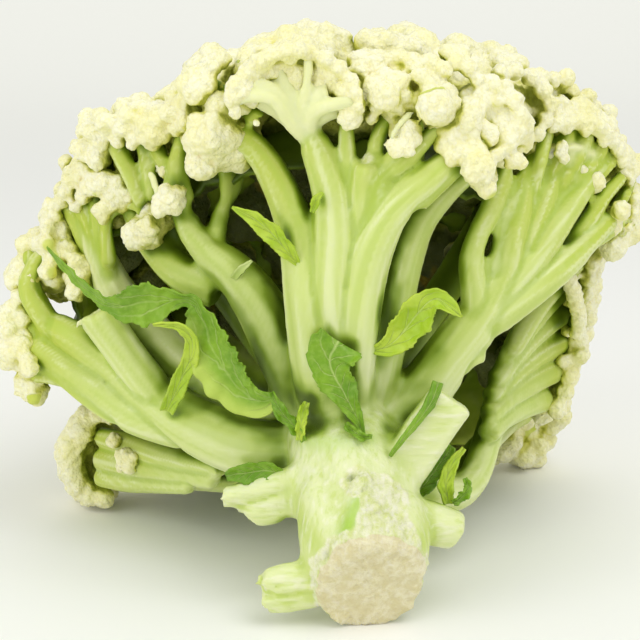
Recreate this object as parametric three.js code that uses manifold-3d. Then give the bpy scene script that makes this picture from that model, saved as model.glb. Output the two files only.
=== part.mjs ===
// A loose-curd cauliflower as cut from its plant: a stump with the stalks' crown, the stalks that part
// from it and fork, the heads of curd on their tips, cut leaf bases and the small leaves left on.
// It lies on the lower rim of its cut stump and on the low heads of curd. Millimetres, +Z up, front at -Y.
import * as THREE from 'three';
import { mergeVertices } from 'three/addons/utils/BufferGeometryUtils.js';
import Module from 'manifold-3d';

const wasm = await Module();
wasm.setup();

// ---- Driving dimensions, in millimetres and degrees -----------------------------------------------
const CROWN = new THREE.Vector3(9, -64, 54); // where the stalks part; all stations are counted from it
const HEAD_TILT = 35; // the head's axis rises this much towards the back
const DOME_CENTRE = new THREE.Vector3(-7, 58, 17); // centre of the curd's dome, from the crown
const DOME_RADIUS = 122;
const DOME_BREADTH = 1.08; // the dome is this much broader than it is high
const ROOT_REACH = 34; // the stalks are one with the crown up to this distance from it
const GAP = 0.3; // clearance between neighbouring solids
const STUMP_CUT = { at: [9, -43, -37], normal: [0.14, -0.94, -0.31] }; // the knife's plane through the stump
const LEAF_THICKNESS = 1.2;
const FINE_LUMP = 22; // lumps of curd from this radius on have more faces
const WIDE_CAP = 35; // dome heads from this cap radius on have a ring of six lumps, smaller ones of five
// the middle lump and the ring of a dome head, as shares of its cap radius
const DOME_HEAD = { sunk: 0.45, middle: 0.46, ringAt: 0.62, ringLower: 0.14, ringLump: 0.4, underside: 0.6 };
// the stalk of a dome head: where it starts and bows on its way, and how far it sags there
const DOME_STALK = { foot: 0.04, bow: 0.55, sag: 4, thickness: [16, 15, 12] };
// the stump from below the cut up into the crown, as [x, y, z, thickness] from the crown
const STUMP = [[10, -56, -46, 38], [8, -38, -34, 36], [5, -22, -17, 40], [2, -8, -4, 45], [-1, 4, 5, 40]];
const STUMP_SIDES = 14;

const COLOURS = {
  stalk: { color: 0xd3e39a, roughness: 0.45, metalness: 0 },
  curd: { color: 0xf3f0cf, roughness: 0.8, metalness: 0 },
  core: { color: 0xdde8b0, roughness: 0.5, metalness: 0 },
  leaf: { color: 0x6fae3a, roughness: 0.5, metalness: 0 },
  leafBase: { color: 0xd9e9a4, roughness: 0.5, metalness: 0 },
};

// ---- The stalks: stations [x, y, z, thickness] from the crown, and the forks that leave them ------
const STALKS = {
  stalk_left_low: {
    trunk: [[-4, 0, -4, 22], [-33, 6, -4, 22], [-52, 14, 1, 22], [-69, 22, 9, 19], [-87, 30, 21, 15],
      [-102, 36, 30, 13], [-114, 42, 36, 11], [-120, 46, 48, 9], [-118, 49, 66, 8]],
    forks: [
      [[-62, 20, 3, 15], [-73, 22, 16, 14], [-82, 22, 29, 13], [-89, 22, 41, 12]],
      [[-60, 18, -1, 15], [-80, 24, 0, 13], [-93, 28, 8, 11], [-106, 34, 13, 10], [-120, 40, 24, 8]],
    ],
  },
  stalk_left_middle: {
    trunk: [[-4, 4, -2, 14], [-39, 26, 5, 16], [-62, 35, 22, 16], [-83, 40, 43, 15], [-93, 40, 62, 14],
      [-96, 40, 84, 11]],
    forks: [[[-91, 38, 58, 7], [-87, 33, 67, 5.5], [-81, 29, 74, 5], [-74, 26, 76, 4.5]]],
  },
  stalk_left_high: {
    trunk: [[-4, 0, 1, 18], [-20, 4, 21, 20], [-33, 10, 38, 19], [-44, 14, 54, 20], [-52, 16, 68, 18],
      [-56, 18, 78, 13], [-61, 20, 88, 12], [-66, 22, 104, 10]],
    forks: [
      [[-49, 15, 62, 16], [-45, 20, 77, 13], [-42, 26, 88, 12], [-40, 34, 112, 10]],
      [[-46, 15, 54, 15], [-61, 21, 60, 14], [-73, 30, 72, 12], [-82, 36, 90, 10]],
    ],
  },
  stalk_centre_left: {
    trunk: [[-3, -2, 2, 20], [-8, -8, 30, 23], [-12, -8, 54, 21], [-15, -6, 73, 18], [-20, -3, 88, 15],
      [-27, -1, 102, 13], [-34, 0, 111, 11], [-42, 0, 113, 9]],
    forks: [],
  },
  stalk_centre: {
    trunk: [[-1, -4, 2, 18], [-2, -10, 30, 19], [-5, -11, 56, 19], [-4, -10, 77, 18], [-4, -9, 95, 16],
      [-7, -8, 110, 14], [-14, -6, 126, 12]],
    forks: [[[-4, -10, 98, 11], [0, -9, 110, 9], [2, -9, 121, 8]]],
  },
  stalk_centre_slim: {
    trunk: [[2, -6, 50, 9], [5, -12, 84, 9], [6, -12, 104, 9], [8, -6, 128, 9]],
    forks: [],
  },
  stalk_centre_right: {
    trunk: [[2, -4, 2, 14], [3, -12, 38, 17], [7, -13, 67, 15], [15, -14, 87, 14], [28, -14, 99, 14],
      [42, -12, 108, 11]],
    forks: [[[16, -14, 86, 11], [20, -12, 100, 10], [22, -10, 118, 9]]],
  },
  stalk_centre_back: {
    trunk: [[4, 2, 1, 12], [14, 4, 21, 15], [20, 6, 45, 19], [26, 8, 67, 20], [34, 13, 86, 17],
      [42, 19, 98, 14], [52, 26, 112, 11]],
    forks: [[[29, 9, 76, 13], [28, 14, 96, 12], [25, 20, 122, 10]]],
  },
  stalk_right: {
    trunk: [[4, 0, -2, 20], [22, 2, 12, 21], [36, 6, 29, 19], [48, 10, 44, 21], [57, 13, 58, 17],
      [61, 16, 73, 13], [67, 22, 91, 12], [75, 32, 108, 10]],
    forks: [
      [[51, 11, 48, 14], [50, 18, 62, 13], [52, 24, 82, 11], [58, 30, 106, 9]],
      [[53, 11, 50, 15], [72, 18, 68, 13], [85, 26, 83, 12], [95, 36, 98, 10]],
      [[50, 9, 43, 15], [74, 18, 57, 13], [89, 28, 66, 12], [104, 42, 76, 10]],
    ],
  },
  stalk_right_low: {
    trunk: [[10, 2, -10, 14], [36, 10, -23, 14], [49, 24, -22, 12], [57, 40, -8, 11], [64, 58, 8, 11],
      [74, 76, 18, 10], [84, 93, 24, 9]],
    forks: [
      [[55, 28, -5, 10], [63, 44, -3, 9], [75, 62, -4, 9], [86, 78, -6, 8]],
      [[57, 38, 6, 10], [66, 50, 13, 9], [79, 66, 18, 9], [93, 82, 18, 8]],
      [[62, 46, 16, 9], [71, 52, 29, 9], [82, 62, 40, 8], [93, 72, 46, 7]],
    ],
  },
  stalk_rest_right: {
    trunk: [[10, 6, -10, 12], [38, 28, -26, 12], [56, 62, -22, 11], [70, 94, -22, 10], [80, 114, -24, 9]],
    forks: [],
  },
  stalk_back_left: {
    trunk: [[-8, 6, -8, 14], [-30, 28, -22, 14], [-57, 50, -30, 12], [-78, 66, -33, 11], [-94, 78, -32, 10]],
    forks: [
      [[-32, 22, -19, 9], [-61, 34, -19, 9], [-76, 50, -20, 10], [-91, 64, -20, 9]],
      [[-36, 30, -23, 9], [-59, 34, -27, 8], [-77, 52, -34, 9], [-91, 64, -38, 9]],
    ],
  },
};

// ---- The heads of curd seen from the front: lumps [x, y, z, radius] from the crown ----------------
const FRONT_CURDS = {
  curd_ball: [[-46, 0, 112, 11.5], [-40, 3, 106, 8], [-49, 2, 104, 7.5], [-43, 4, 119, 8]],
  curd_bell: [[-37, -3, 126, 8], [-29, -3, 132, 10], [-16, -2, 136, 12], [-4, -5, 132, 9], [1, -8, 125, 7],
    [-19, 2, 130, 10]],
  curd_centre: [[14, -11, 129, 9.5], [9, -6, 136, 8], [30, -13, 126, 9], [26, -8, 133, 8], [20, -15, 114, 6.5],
    [21, -10, 123, 7]],
  curd_fan: [[37, -13, 110, 8.5], [46, -14, 107, 6.5], [55, -8, 115, 9], [51, -4, 124, 9], [42, -8, 121, 9],
    [59, -4, 108, 5]],
  curd_left_top: [[-56, 13, 118, 11], [-65, 18, 112, 12], [-74, 26, 113, 12], [-84, 32, 106, 11],
    [-66, 18, 99, 7], [-64, 16, 90, 6.5], [-70, 42, 107, 12]],
  curd_left_shoulder: [[-91, 40, 96, 12], [-96, 42, 86, 11], [-89, 38, 83, 9], [-101, 46, 76, 9],
    [-94, 56, 84, 12]],
  curd_left_arm: [[-73, 25, 75, 5], [-70, 24, 70, 4.2]],
  curd_left_edge: [[-115, 52, 61, 11], [-107, 50, 73, 10], [-122, 52, 49, 9], [-111, 64, 60, 11],
    [-113, 66, 46, 9]],
  curd_left_low: [[-126, 46, 34, 9], [-126, 44, 23, 11], [-118, 40, 15, 7.5], [-121, 43, 8, 5],
    [-119, 60, 24, 11]],
  curd_back_left: [[-101, 86, -26, 14], [-90, 78, -36, 10], [-104, 88, -43, 13], [-79, 72, -37, 8],
    [-92, 92, -34, 12]],
  curd_right_top: [[60, 30, 119, 12], [69, 34, 120, 12], [64, 30, 109, 8], [78, 40, 113, 12], [85, 45, 108, 10],
    [77, 36, 104, 8], [75, 54, 110, 12]],
  curd_right_edge: [[92, 48, 103, 11], [100, 50, 94, 11], [96, 42, 87, 7], [106, 54, 82, 10.5],
    [109, 53, 71, 9], [104, 48, 65, 7], [99, 66, 84, 12], [103, 70, 62, 11]],
  curd_back_right: [[88, 102, 30, 13], [95, 96, 40, 12], [94, 106, 14, 11], [84, 108, 8, 9]],
  curd_rest_right: [[86, 124, -14, 13], [82, 130, -42, 14.5], [92, 128, -29, 11], [71, 122, -40, 11]],
  curd_top_left: [[-45, 26, 126, 13], [-54, 33, 119, 12], [-37, 34, 130, 12], [-48, 47, 128, 13],
    [-20, 26, 136, 13], [-7, 28, 137, 13], [-29, 34, 134, 11], [-13, 46, 137, 13]],
  curd_top_right: [[13, 26, 136, 13], [26, 28, 134, 13], [36, 20, 129, 9], [22, 46, 136, 13],
    [46, 27, 128, 10], [57, 42, 127, 12], [42, 46, 133, 12], [56, 58, 130, 12]],
};

// ---- The heads that make up the rest of the dome: where they sit on it, and their cap radius -------
const DOME_HEADS = {
  apex: { azimuth: 270, polar: 2, cap: 50 },
  outer_1: { azimuth: 25, polar: 50, cap: 46 },
  outer_2: { azimuth: 88, polar: 48, cap: 46 },
  outer_3: { azimuth: 152, polar: 50, cap: 46 },
  outer_4: { azimuth: 210, polar: 49, cap: 47 },
  outer_5: { azimuth: 269, polar: 46, cap: 44 },
  outer_6: { azimuth: 330, polar: 49, cap: 47 },
  back_1: { azimuth: 248, polar: 71, cap: 30 },
  back_2: { azimuth: 294, polar: 71, cap: 30 },
};

// ---- Cut leaf bases round the stump: stations [x, y, z, width, depth] -----------------------------
const LEAF_BASES = {
  leaf_base_left: [[-2, -16, -10, 16, 12], [-16, -18, -14, 15, 9], [-27, -19, -15, 14, 7], [-38, -20, -19, 14, 6]],
  leaf_base_low: [[2, -34, -30, 15, 12], [-10, -36, -37, 13, 10], [-21, -37, -42, 15, 8]],
  leaf_base_right: [[16, -22, -18, 16, 12], [27, -22, -24, 15, 11], [37, -22, -27, 13, 10]],
  cut_leaf_stalk: [[15, -18, -12, 18, 10], [22, -22, 2, 17, 8], [32, -22, 14, 17, 7], [42, -19, 27, 17, 6]],
};

// ---- Leaves: spine stations [x, y, z, half width, turn of the blade round the spine] ---------------
const LEAVES = {
  leaf_left_large: [[-24, -9, 20, 5, 10], [-33, -12, 28, 10, 5], [-42, -12, 39, 11, 0], [-50, -9, 51, 9, 20],
    [-62, -7, 57, 8, 50], [-80, -2, 54, 8, 60], [-95, 4, 61, 5, 60], [-107, 10, 70, 1, 60]],
  bract_left: [[-65, 0, 15, 3, 0], [-59, -4, 26, 3.5, 0], [-54, -8, 37, 3.5, 20], [-58, -12, 47, 3, 50],
    [-69, -11, 48, 2, 60]],
  leaf_centre: [[7, -20, 6, 3, 0], [5, -21, 16, 4, 0], [1, -23, 26, 8, 0], [-2, -25, 37, 10, 0],
    [-2, -27, 45, 8, 10]],
  leaf_right_curled: [[11, -16, 40, 3, 0], [18, -18, 50, 5, 0], [28, -22, 60, 6, 0], [34, -24, 60, 6, 0],
    [39, -23, 53, 2, 0]],
  bract_upper: [[-17, -14, 69, 2, 0], [-24, -19, 79, 4, 0], [-31, -20, 85, 4, 0], [-40, -19, 90, 1, 0]],
  leaf_stump_left: [[-19, -26, -8, 4, 30], [-27, -28, -4, 7, 30], [-35, -29, 0, 6, 30], [-42, -28, 2, 2, 30]],
  leaf_right_low: [[29, -14, -19, 4, 10], [34, -14, -12, 7, 10], [38, -12, -5, 6, 10], [43, -10, 4, 2, 10]],
  leaf_stalk_edge: [[14, -24, 1, 2, 0], [19, -26, 10, 3, 0], [25, -27, 20, 4, 0], [31, -26, 31, 3, 0]],
  leaf_curly: [[-13, -22, 7, 4, 0], [-18, -23, 13, 6, 0], [-21, -23, 19, 5, 0], [-24, -22, 25, 2, 0]],
};

// ---- Geometry helpers -----------------------------------------------------------------------------
const TO_FRONT = new THREE.Vector3(0, -1, 0); // the side that stalks and leaves turn to the front
const TO_FRONT_RIGHT = new THREE.Vector3(0.3, -1, 0); // and the one that the cut leaf bases turn there
const STALK_SIDES = 7;
const FORK_SIDES = 6;
const BAR_SIDES = 8;
const radians = THREE.MathUtils.degToRad;
const HEAD_AXIS = new THREE.Vector3(0, Math.cos(radians(HEAD_TILT)), Math.sin(radians(HEAD_TILT)));
const HEAD_UP = new THREE.Vector3(0, -Math.sin(radians(HEAD_TILT)), Math.cos(radians(HEAD_TILT)));
const HEAD_RIGHT = new THREE.Vector3(1, 0, 0);

// The direction at an azimuth round the head's axis and a polar angle from it.
function headDirection(azimuth, polar) {
  const across = Math.sin(radians(polar));
  return HEAD_AXIS.clone().multiplyScalar(Math.cos(radians(polar)))
    .addScaledVector(HEAD_RIGHT, across * Math.cos(radians(azimuth)))
    .addScaledVector(HEAD_UP, across * Math.sin(radians(azimuth)));
}

// A point under the dome's skin, from the crown.
function domePoint(azimuth, polar, depth) {
  const reach = headDirection(azimuth, polar).multiplyScalar(DOME_RADIUS - depth);
  return reach.setX(reach.x * DOME_BREADTH).add(DOME_CENTRE);
}

// A closed three.js geometry as a manifold-3d solid.
function solidOf(geometry) {
  geometry.deleteAttribute('normal');
  geometry.deleteAttribute('uv');
  const merged = mergeVertices(geometry, 1e-4);
  return new wasm.Manifold(new wasm.Mesh({
    numProp: 3,
    vertProperties: merged.attributes.position.array,
    triVerts: new Uint32Array(merged.index.array),
  }));
}

const union = (solids) => solids.reduce((all, solid) => all.add(solid));

// Numbers that go with the stations, read at a place between them.
function valueAt(values, t) {
  const place = t * (values.length - 1);
  const before = Math.min(Math.floor(place), values.length - 2);
  return THREE.MathUtils.lerp(values[before], values[before + 1], place - before);
}

// The frame that travels along a curve without spinning round it, at every step.
function framesAlong(curve, steps, startSide) {
  const frames = [];
  let side = startSide.clone();
  for (let i = 0; i <= steps; i++) {
    const tangent = curve.getTangent(i / steps);
    side = side.clone().addScaledVector(tangent, -side.dot(tangent)).normalize();
    frames.push({ point: curve.getPoint(i / steps), side, up: new THREE.Vector3().crossVectors(tangent, side) });
  }
  return frames;
}

const curveThrough = (stations) => new THREE.CatmullRomCurve3(
  stations.map(([x, y, z]) => new THREE.Vector3(x, y, z)), false, 'centripetal');

// A stalk through its stations: a cylinder bent on to their curve, its radius following their thickness.
function stalkSolid(stations, grow = 0, sides = STALK_SIDES) {
  const steps = stations.length;
  const frames = framesAlong(curveThrough(stations), steps, TO_FRONT);
  const thickness = stations.map((station) => station[3]);
  const geometry = new THREE.CylinderGeometry(1, 1, 1, sides, steps);
  const position = geometry.attributes.position;
  for (let i = 0; i < position.count; i++) {
    const t = 0.5 - position.getY(i);
    const { point, side, up } = frames[Math.round(t * steps)];
    const radius = valueAt(thickness, t) / 2 + grow;
    const moved = point.clone()
      .addScaledVector(side, radius * position.getX(i))
      .addScaledVector(up, radius * position.getZ(i));
    position.setXYZ(i, moved.x, moved.y, moved.z);
  }
  return facingOut(solidOf(geometry));
}

// A flattened bar through stations with a width and a depth, such as a leaf stalk.
function barSolid(stations, grow = 0) {
  const steps = stations.length;
  const frames = framesAlong(curveThrough(stations), steps, TO_FRONT_RIGHT);
  const widths = stations.map((station) => station[3]);
  const depths = stations.map((station) => station[4]);
  const geometry = new THREE.CylinderGeometry(1, 1, 1, BAR_SIDES, steps);
  const position = geometry.attributes.position;
  for (let i = 0; i < position.count; i++) {
    const t = 0.5 - position.getY(i);
    const { point, side, up } = frames[Math.round(t * steps)];
    const moved = point.clone()
      .addScaledVector(side, (valueAt(depths, t) / 2 + grow) * position.getX(i))
      .addScaledVector(up, (valueAt(widths, t) / 2 + grow) * position.getZ(i));
    position.setXYZ(i, moved.x, moved.y, moved.z);
  }
  return facingOut(solidOf(geometry));
}

// A leaf: a thin board bent on to its spine, as wide as its stations say.
function leafSolid(stations, grow = 0) {
  const steps = stations.length * 2 - 2;
  const frames = framesAlong(curveThrough(stations), steps, TO_FRONT);
  const halfWidths = stations.map((station) => station[3]);
  const turns = stations.map((station) => station[4]);
  const geometry = new THREE.BoxGeometry(2, 1, LEAF_THICKNESS + 2 * grow, 2, steps, 1);
  const position = geometry.attributes.position;
  for (let i = 0; i < position.count; i++) {
    const t = 0.5 - position.getY(i);
    const { point, side, up } = frames[Math.round(t * steps)];
    const turn = radians(valueAt(turns, t));
    const across = up.clone().multiplyScalar(Math.cos(turn)).addScaledVector(side, Math.sin(turn));
    const through = side.clone().multiplyScalar(Math.cos(turn)).addScaledVector(up, -Math.sin(turn));
    const moved = point.clone()
      .addScaledVector(across, (valueAt(halfWidths, t) + grow) * position.getX(i))
      .addScaledVector(through, position.getZ(i));
    position.setXYZ(i, moved.x, moved.y, moved.z);
  }
  return facingOut(solidOf(geometry));
}

// Bending can turn a shape inside out: the same shape with its faces turned round.
function facingOut(solid) {
  if (solid.volume() > 0) return solid;
  const mesh = solid.getMesh();
  const triVerts = mesh.triVerts.slice();
  for (let i = 0; i < triVerts.length; i += 3) {
    [triVerts[i + 1], triVerts[i + 2]] = [triVerts[i + 2], triVerts[i + 1]];
  }
  return new wasm.Manifold(new wasm.Mesh({ numProp: 3, vertProperties: mesh.vertProperties, triVerts }));
}

// One lump of curd: a many-sided ball, finer when it is large.
function lumpSolid([x, y, z, radius], grow) {
  const geometry = radius < FINE_LUMP
    ? new THREE.OctahedronGeometry(radius + grow, 1)
    : new THREE.IcosahedronGeometry(radius + grow, 1);
  return solidOf(geometry.translate(x, y, z));
}

// The lumps of a domed head: one broad lump in the middle and a ring round it, a little lower.
function domeLumps(azimuth, polar, cap) {
  const ring = cap > WIDE_CAP ? 6 : 5;
  const outward = headDirection(azimuth, polar);
  const middle = domePoint(azimuth, polar, DOME_HEAD.sunk * cap);
  const along = new THREE.Vector3().crossVectors(outward, HEAD_AXIS.clone().add(HEAD_RIGHT)).normalize();
  const beside = new THREE.Vector3().crossVectors(outward, along);
  const lumps = [[...middle.toArray(), DOME_HEAD.middle * cap]];
  for (let i = 0; i < ring; i++) {
    const turn = radians(azimuth + (360 * i) / ring);
    const at = middle.clone()
      .addScaledVector(along, DOME_HEAD.ringAt * cap * Math.cos(turn))
      .addScaledVector(beside, DOME_HEAD.ringAt * cap * Math.sin(turn))
      .addScaledVector(outward, -DOME_HEAD.ringLower * cap);
    lumps.push([...at.toArray(), DOME_HEAD.ringLump * cap]);
  }
  return lumps;
}

// ---- The stalk of each dome head: from the crown, bowed outwards, to the head's underside ---------
for (const [name, { azimuth, polar, cap }] of Object.entries(DOME_HEADS)) {
  const tip = domePoint(azimuth, polar, DOME_HEAD.underside * cap);
  const foot = tip.clone().multiplyScalar(DOME_STALK.foot);
  const bow = tip.clone().multiplyScalar(DOME_STALK.bow).addScaledVector(HEAD_AXIS, -DOME_STALK.sag);
  const trunk = [foot, bow, tip].map((place, i) => [...place.toArray(), DOME_STALK.thickness[i]]);
  STALKS[`stalk_${name}`] = { trunk, forks: [] };
}

// ---- Solids before they are fitted to each other --------------------------------------------------
const stalkWhole = ({ trunk, forks }, grow = 0) => union([
  stalkSolid(trunk, grow), ...forks.map((fork) => stalkSolid(fork, grow, FORK_SIDES))]);

const ball = (radius) => solidOf(new THREE.IcosahedronGeometry(radius, 1));

// The block that the knife takes off the stump, and the block below the surface that the head lies on.
const SLAB_SIZE = 400;
function slab(point, normal) {
  const geometry = new THREE.BoxGeometry(SLAB_SIZE, SLAB_SIZE, SLAB_SIZE).translate(0, 0, SLAB_SIZE / 2);
  const turn = new THREE.Quaternion().setFromUnitVectors(
    new THREE.Vector3(0, 0, 1), new THREE.Vector3(...normal).normalize());
  return solidOf(geometry.applyQuaternion(turn).translate(...point));
}
const knife = slab(STUMP_CUT.at, STUMP_CUT.normal);
const floor = slab([0, 0, -CROWN.z], [0, 0, -1]);

function coreWhole(grow = 0) {
  const stump = stalkSolid(STUMP, grow, STUMP_SIDES);
  const roots = Object.values(STALKS).map((stalk) => stalkSolid(stalk.trunk, grow));
  return stump.add(union(roots).intersect(ball(ROOT_REACH + grow))).subtract(knife);
}

// ---- Fitting: each solid leaves a gap to all that came before it ----------------------------------
const group = new THREE.Group();
const taken = [];

function boxesMeet(a, b) {
  return a.min.every((low, i) => low < b.max[i] && b.min[i] < a.max[i]);
}

function fit(name, whole, material) {
  let solid = whole(0).subtract(floor);
  for (const { grown, box } of taken) {
    if (boxesMeet(solid.boundingBox(), box)) solid = solid.subtract(grown);
  }
  const pieces = solid.decompose().sort((a, b) => b.volume() - a.volume());
  const grown = whole(GAP);
  taken.push({ grown, box: grown.boundingBox() });
  const mesh = pieces[0].getMesh();
  const geometry = new THREE.BufferGeometry();
  geometry.setAttribute('position', new THREE.BufferAttribute(mesh.vertProperties, 3));
  geometry.setIndex(new THREE.BufferAttribute(mesh.triVerts, 1));
  const made = new THREE.Mesh(geometry, new THREE.MeshStandardMaterial(COLOURS[material]));
  made.name = name;
  made.position.copy(CROWN);
  group.add(made);
}

fit('core', coreWhole, 'core');
for (const [name, stalk] of Object.entries(STALKS)) {
  fit(name, (grow) => stalkWhole(stalk, grow), 'stalk');
}
const curdWhole = (lumps) => (grow) => union(lumps.map((lump) => lumpSolid(lump, grow)));
for (const [name, lumps] of Object.entries(FRONT_CURDS)) fit(name, curdWhole(lumps), 'curd');
for (const [name, { azimuth, polar, cap }] of Object.entries(DOME_HEADS)) {
  fit(`curd_${name}`, curdWhole(domeLumps(azimuth, polar, cap)), 'curd');
}
for (const [name, stations] of Object.entries(LEAF_BASES)) {
  fit(name, (grow) => barSolid(stations, grow), 'leafBase');
}
for (const [name, stations] of Object.entries(LEAVES)) {
  fit(name, (grow) => leafSolid(stations, grow), 'leaf');
}

export default group;
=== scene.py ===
# %% [markdown]
# # A loose-curd cauliflower
# The head lies on its side, cut stump to the front. Its flesh is one grown-together thing: a stump and
# crown, stalks that fan out and fork, and thin branchlets that carry the florets. The solids of the frame
# say where each of these goes. This lesson dresses them: stalks first, then the curd, then the leaves.

import math

import bmesh
import bpy
import numpy as np
from mathutils import Matrix, Vector, noise
from mathutils.kdtree import KDTree


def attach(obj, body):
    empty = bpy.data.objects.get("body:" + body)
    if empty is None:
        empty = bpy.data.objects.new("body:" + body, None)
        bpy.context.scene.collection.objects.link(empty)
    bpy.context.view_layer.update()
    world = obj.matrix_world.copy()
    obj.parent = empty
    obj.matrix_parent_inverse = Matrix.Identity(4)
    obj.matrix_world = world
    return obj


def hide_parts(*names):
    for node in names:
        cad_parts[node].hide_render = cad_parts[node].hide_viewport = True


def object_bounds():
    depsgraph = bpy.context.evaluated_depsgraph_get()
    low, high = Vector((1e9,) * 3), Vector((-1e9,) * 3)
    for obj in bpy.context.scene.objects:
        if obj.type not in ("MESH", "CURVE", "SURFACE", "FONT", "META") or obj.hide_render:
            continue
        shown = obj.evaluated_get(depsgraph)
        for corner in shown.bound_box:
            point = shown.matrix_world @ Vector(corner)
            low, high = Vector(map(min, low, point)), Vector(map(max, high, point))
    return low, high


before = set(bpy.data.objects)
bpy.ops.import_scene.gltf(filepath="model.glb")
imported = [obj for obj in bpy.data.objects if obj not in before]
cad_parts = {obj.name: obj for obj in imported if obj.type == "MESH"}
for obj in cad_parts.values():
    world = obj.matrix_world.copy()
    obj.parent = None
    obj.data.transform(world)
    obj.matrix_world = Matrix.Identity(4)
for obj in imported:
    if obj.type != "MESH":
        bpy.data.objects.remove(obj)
cad_low, cad_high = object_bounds()
MM = 0.001
CROWN = Vector((9, -64, 54)) * MM  # the place the stalks part from
HEAD_LEAN = math.radians(35)  # how far the axis of the head's dome leans up from the level
HEAD_AXIS = Vector((0, math.cos(HEAD_LEAN), math.sin(HEAD_LEAN)))
nodes = sorted(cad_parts)
print(len(nodes), "nodes in a box of", [round(v / MM) for v in cad_high - cad_low], "mm")


# %% Objects and meshes
def new_object(name, data):
    """An object for this mesh, curve, lamp or camera, linked to the scene."""
    made = bpy.data.objects.new(name, data)
    bpy.context.scene.collection.objects.link(made)
    return made


def mesh_of(sheet, name="part"):
    """A bmesh written to a mesh of its own."""
    mesh = bpy.data.meshes.new(name)
    sheet.to_mesh(mesh)
    sheet.free()
    return mesh


def smooth(mesh):
    mesh.polygons.foreach_set("use_smooth", [True] * len(mesh.polygons))


def baked(holder):
    """The mesh that an object's modifiers or its bevel make of it. The object itself is removed."""
    made = bpy.data.meshes.new_from_object(holder.evaluated_get(bpy.context.evaluated_depsgraph_get()))
    data = holder.data
    bpy.data.objects.remove(holder)
    (bpy.data.curves if isinstance(data, bpy.types.Curve) else bpy.data.meshes).remove(data)
    return made


# %% [markdown]
# ## Camera, floor and light
# The camera is a long lens a little above the crown's height, looking slightly down at the stump. A pale
# floor that curves up behind keeps the shadow. One large soft lamp from the right and a bright, even world
# give the plain level of a light tent.

# %% Camera
LENS = 91
SENSOR = 36
LOOKS_DOWN = math.radians(14)
camera = new_object("camera", bpy.data.cameras.new("camera"))
camera.data.lens = LENS
camera.data.sensor_width = SENSOR
camera.data.clip_start = 0.01
camera.location = CROWN + Vector((-9, -560, 186)) * MM
camera.rotation_euler = (math.pi / 2 - LOOKS_DOWN, 0, 0)
bpy.context.scene.camera = camera
bpy.context.scene.view_settings.view_transform = "Standard"
print("camera at", [round(v, 3) for v in camera.location])

# %% [markdown]
# ## Shader maths as sums
# A finish is a little sum over what is known at each place: where it is, what the mesh code measured there,
# and a noise or two. Wrapping a node's output in a class with operators lets such a sum be written as one,
# and each operator then adds its Math node. Colours are laid over one another with Mix nodes.


# %% Shader expressions
def paint(red, green, blue, alpha=1.0):
    """A colour written as on a screen, 0 to 255, as the linear numbers that a shader takes."""
    def linear(level):
        level /= 255
        return level / 12.92 if level <= 0.04045 else ((level + 0.055) / 1.055) ** 2.4
    return linear(red), linear(green), linear(blue), alpha


class Value:
    """A node's output that can stand in a sum: each operator adds its Math node."""

    def __init__(self, finish, socket):
        self.finish = finish
        self.socket = socket

    def maths(self, operation, *others):
        return self.finish.node("ShaderNodeMath", {"operation": operation}, dict(enumerate((self, *others))))

    def __add__(self, other):
        return self.maths("ADD", other)

    def __sub__(self, other):
        return self.maths("SUBTRACT", other)

    def __mul__(self, other):
        return self.maths("MULTIPLY", other)

    def __rsub__(self, other):
        return self.finish.node("ShaderNodeMath", {"operation": "SUBTRACT"}, {0: other, 1: self})

    __radd__ = __add__
    __rmul__ = __mul__

    def fraction(self):
        return self.maths("FRACT")

    def size(self):
        return self.maths("ABSOLUTE")

    def ease(self, low, high, to_low=0.0, to_high=1.0):
        """0 to 1 as the value goes from low to high, eased at both ends."""
        return self.finish.node("ShaderNodeMapRange", {"interpolation_type": "SMOOTHSTEP"},
                                {0: self, 1: low, 2: high, 3: to_low, 4: to_high})


# %% A material on its way
class Finish:
    """A material on its way: the node method adds any node, and wear() puts the values on the shader."""

    def __init__(self, name):
        self.material = bpy.data.materials.new(name)
        self.material.use_nodes = True
        self.tree = self.material.node_tree
        self.shader = self.tree.nodes["Principled BSDF"]

    def node(self, kind, settings=None, inputs=None, output=0):
        made = self.tree.nodes.new(kind)
        for key, setting in (settings or {}).items():
            if key == "stops":
                while len(made.color_ramp.elements) < len(setting):
                    made.color_ramp.elements.new(0.5)
                for element, (place, colour) in zip(made.color_ramp.elements, setting):
                    element.position = place
                    element.color = colour
            else:
                setattr(made, key, setting)
        for key, value in (inputs or {}).items():
            self.put(made.inputs[key], value)
        return Value(self, made.outputs[output])

    def put(self, socket, value):
        if isinstance(value, Value):
            self.tree.links.new(value.socket, socket)
        else:
            socket.default_value = value

    def place(self):
        return self.node("ShaderNodeTexCoord", output="Object")

    def attribute(self, name):
        return self.node("ShaderNodeAttribute", {"attribute_name": name}, output="Fac")

    def noise(self, vector, scale, detail=2.0, roughness=0.5):
        return self.node("ShaderNodeTexNoise", None,
                         {"Vector": vector, "Scale": scale, "Detail": detail, "Roughness": roughness})

    def stretched(self, vector, scale):
        return self.node("ShaderNodeMapping", None, {"Vector": vector, "Scale": scale})

    def cells(self, vector, scale, feature="F1"):
        return self.node("ShaderNodeTexVoronoi", {"feature": feature}, {"Vector": vector, "Scale": scale},
                         output="Distance")

    def mix(self, share, first, second):
        return self.node("ShaderNodeMix", {"data_type": "RGBA"}, {0: share, 6: first, 7: second}, output=2)

    def coats(self, colour, *layers):
        """A colour with others laid over it, each as (share, (red, green, blue)) on the scale of a screen."""
        for share, over in layers:
            colour = self.mix(share, colour, paint(*over))
        return colour

    def bump(self, height, depth, strength=1.0):
        return self.node("ShaderNodeBump", None, {"Height": height, "Distance": depth, "Strength": strength})

    def wear(self, **values):
        for name, value in values.items():
            self.put(self.shader.inputs[name.replace("_", " ")], value)
        return self.material


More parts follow.
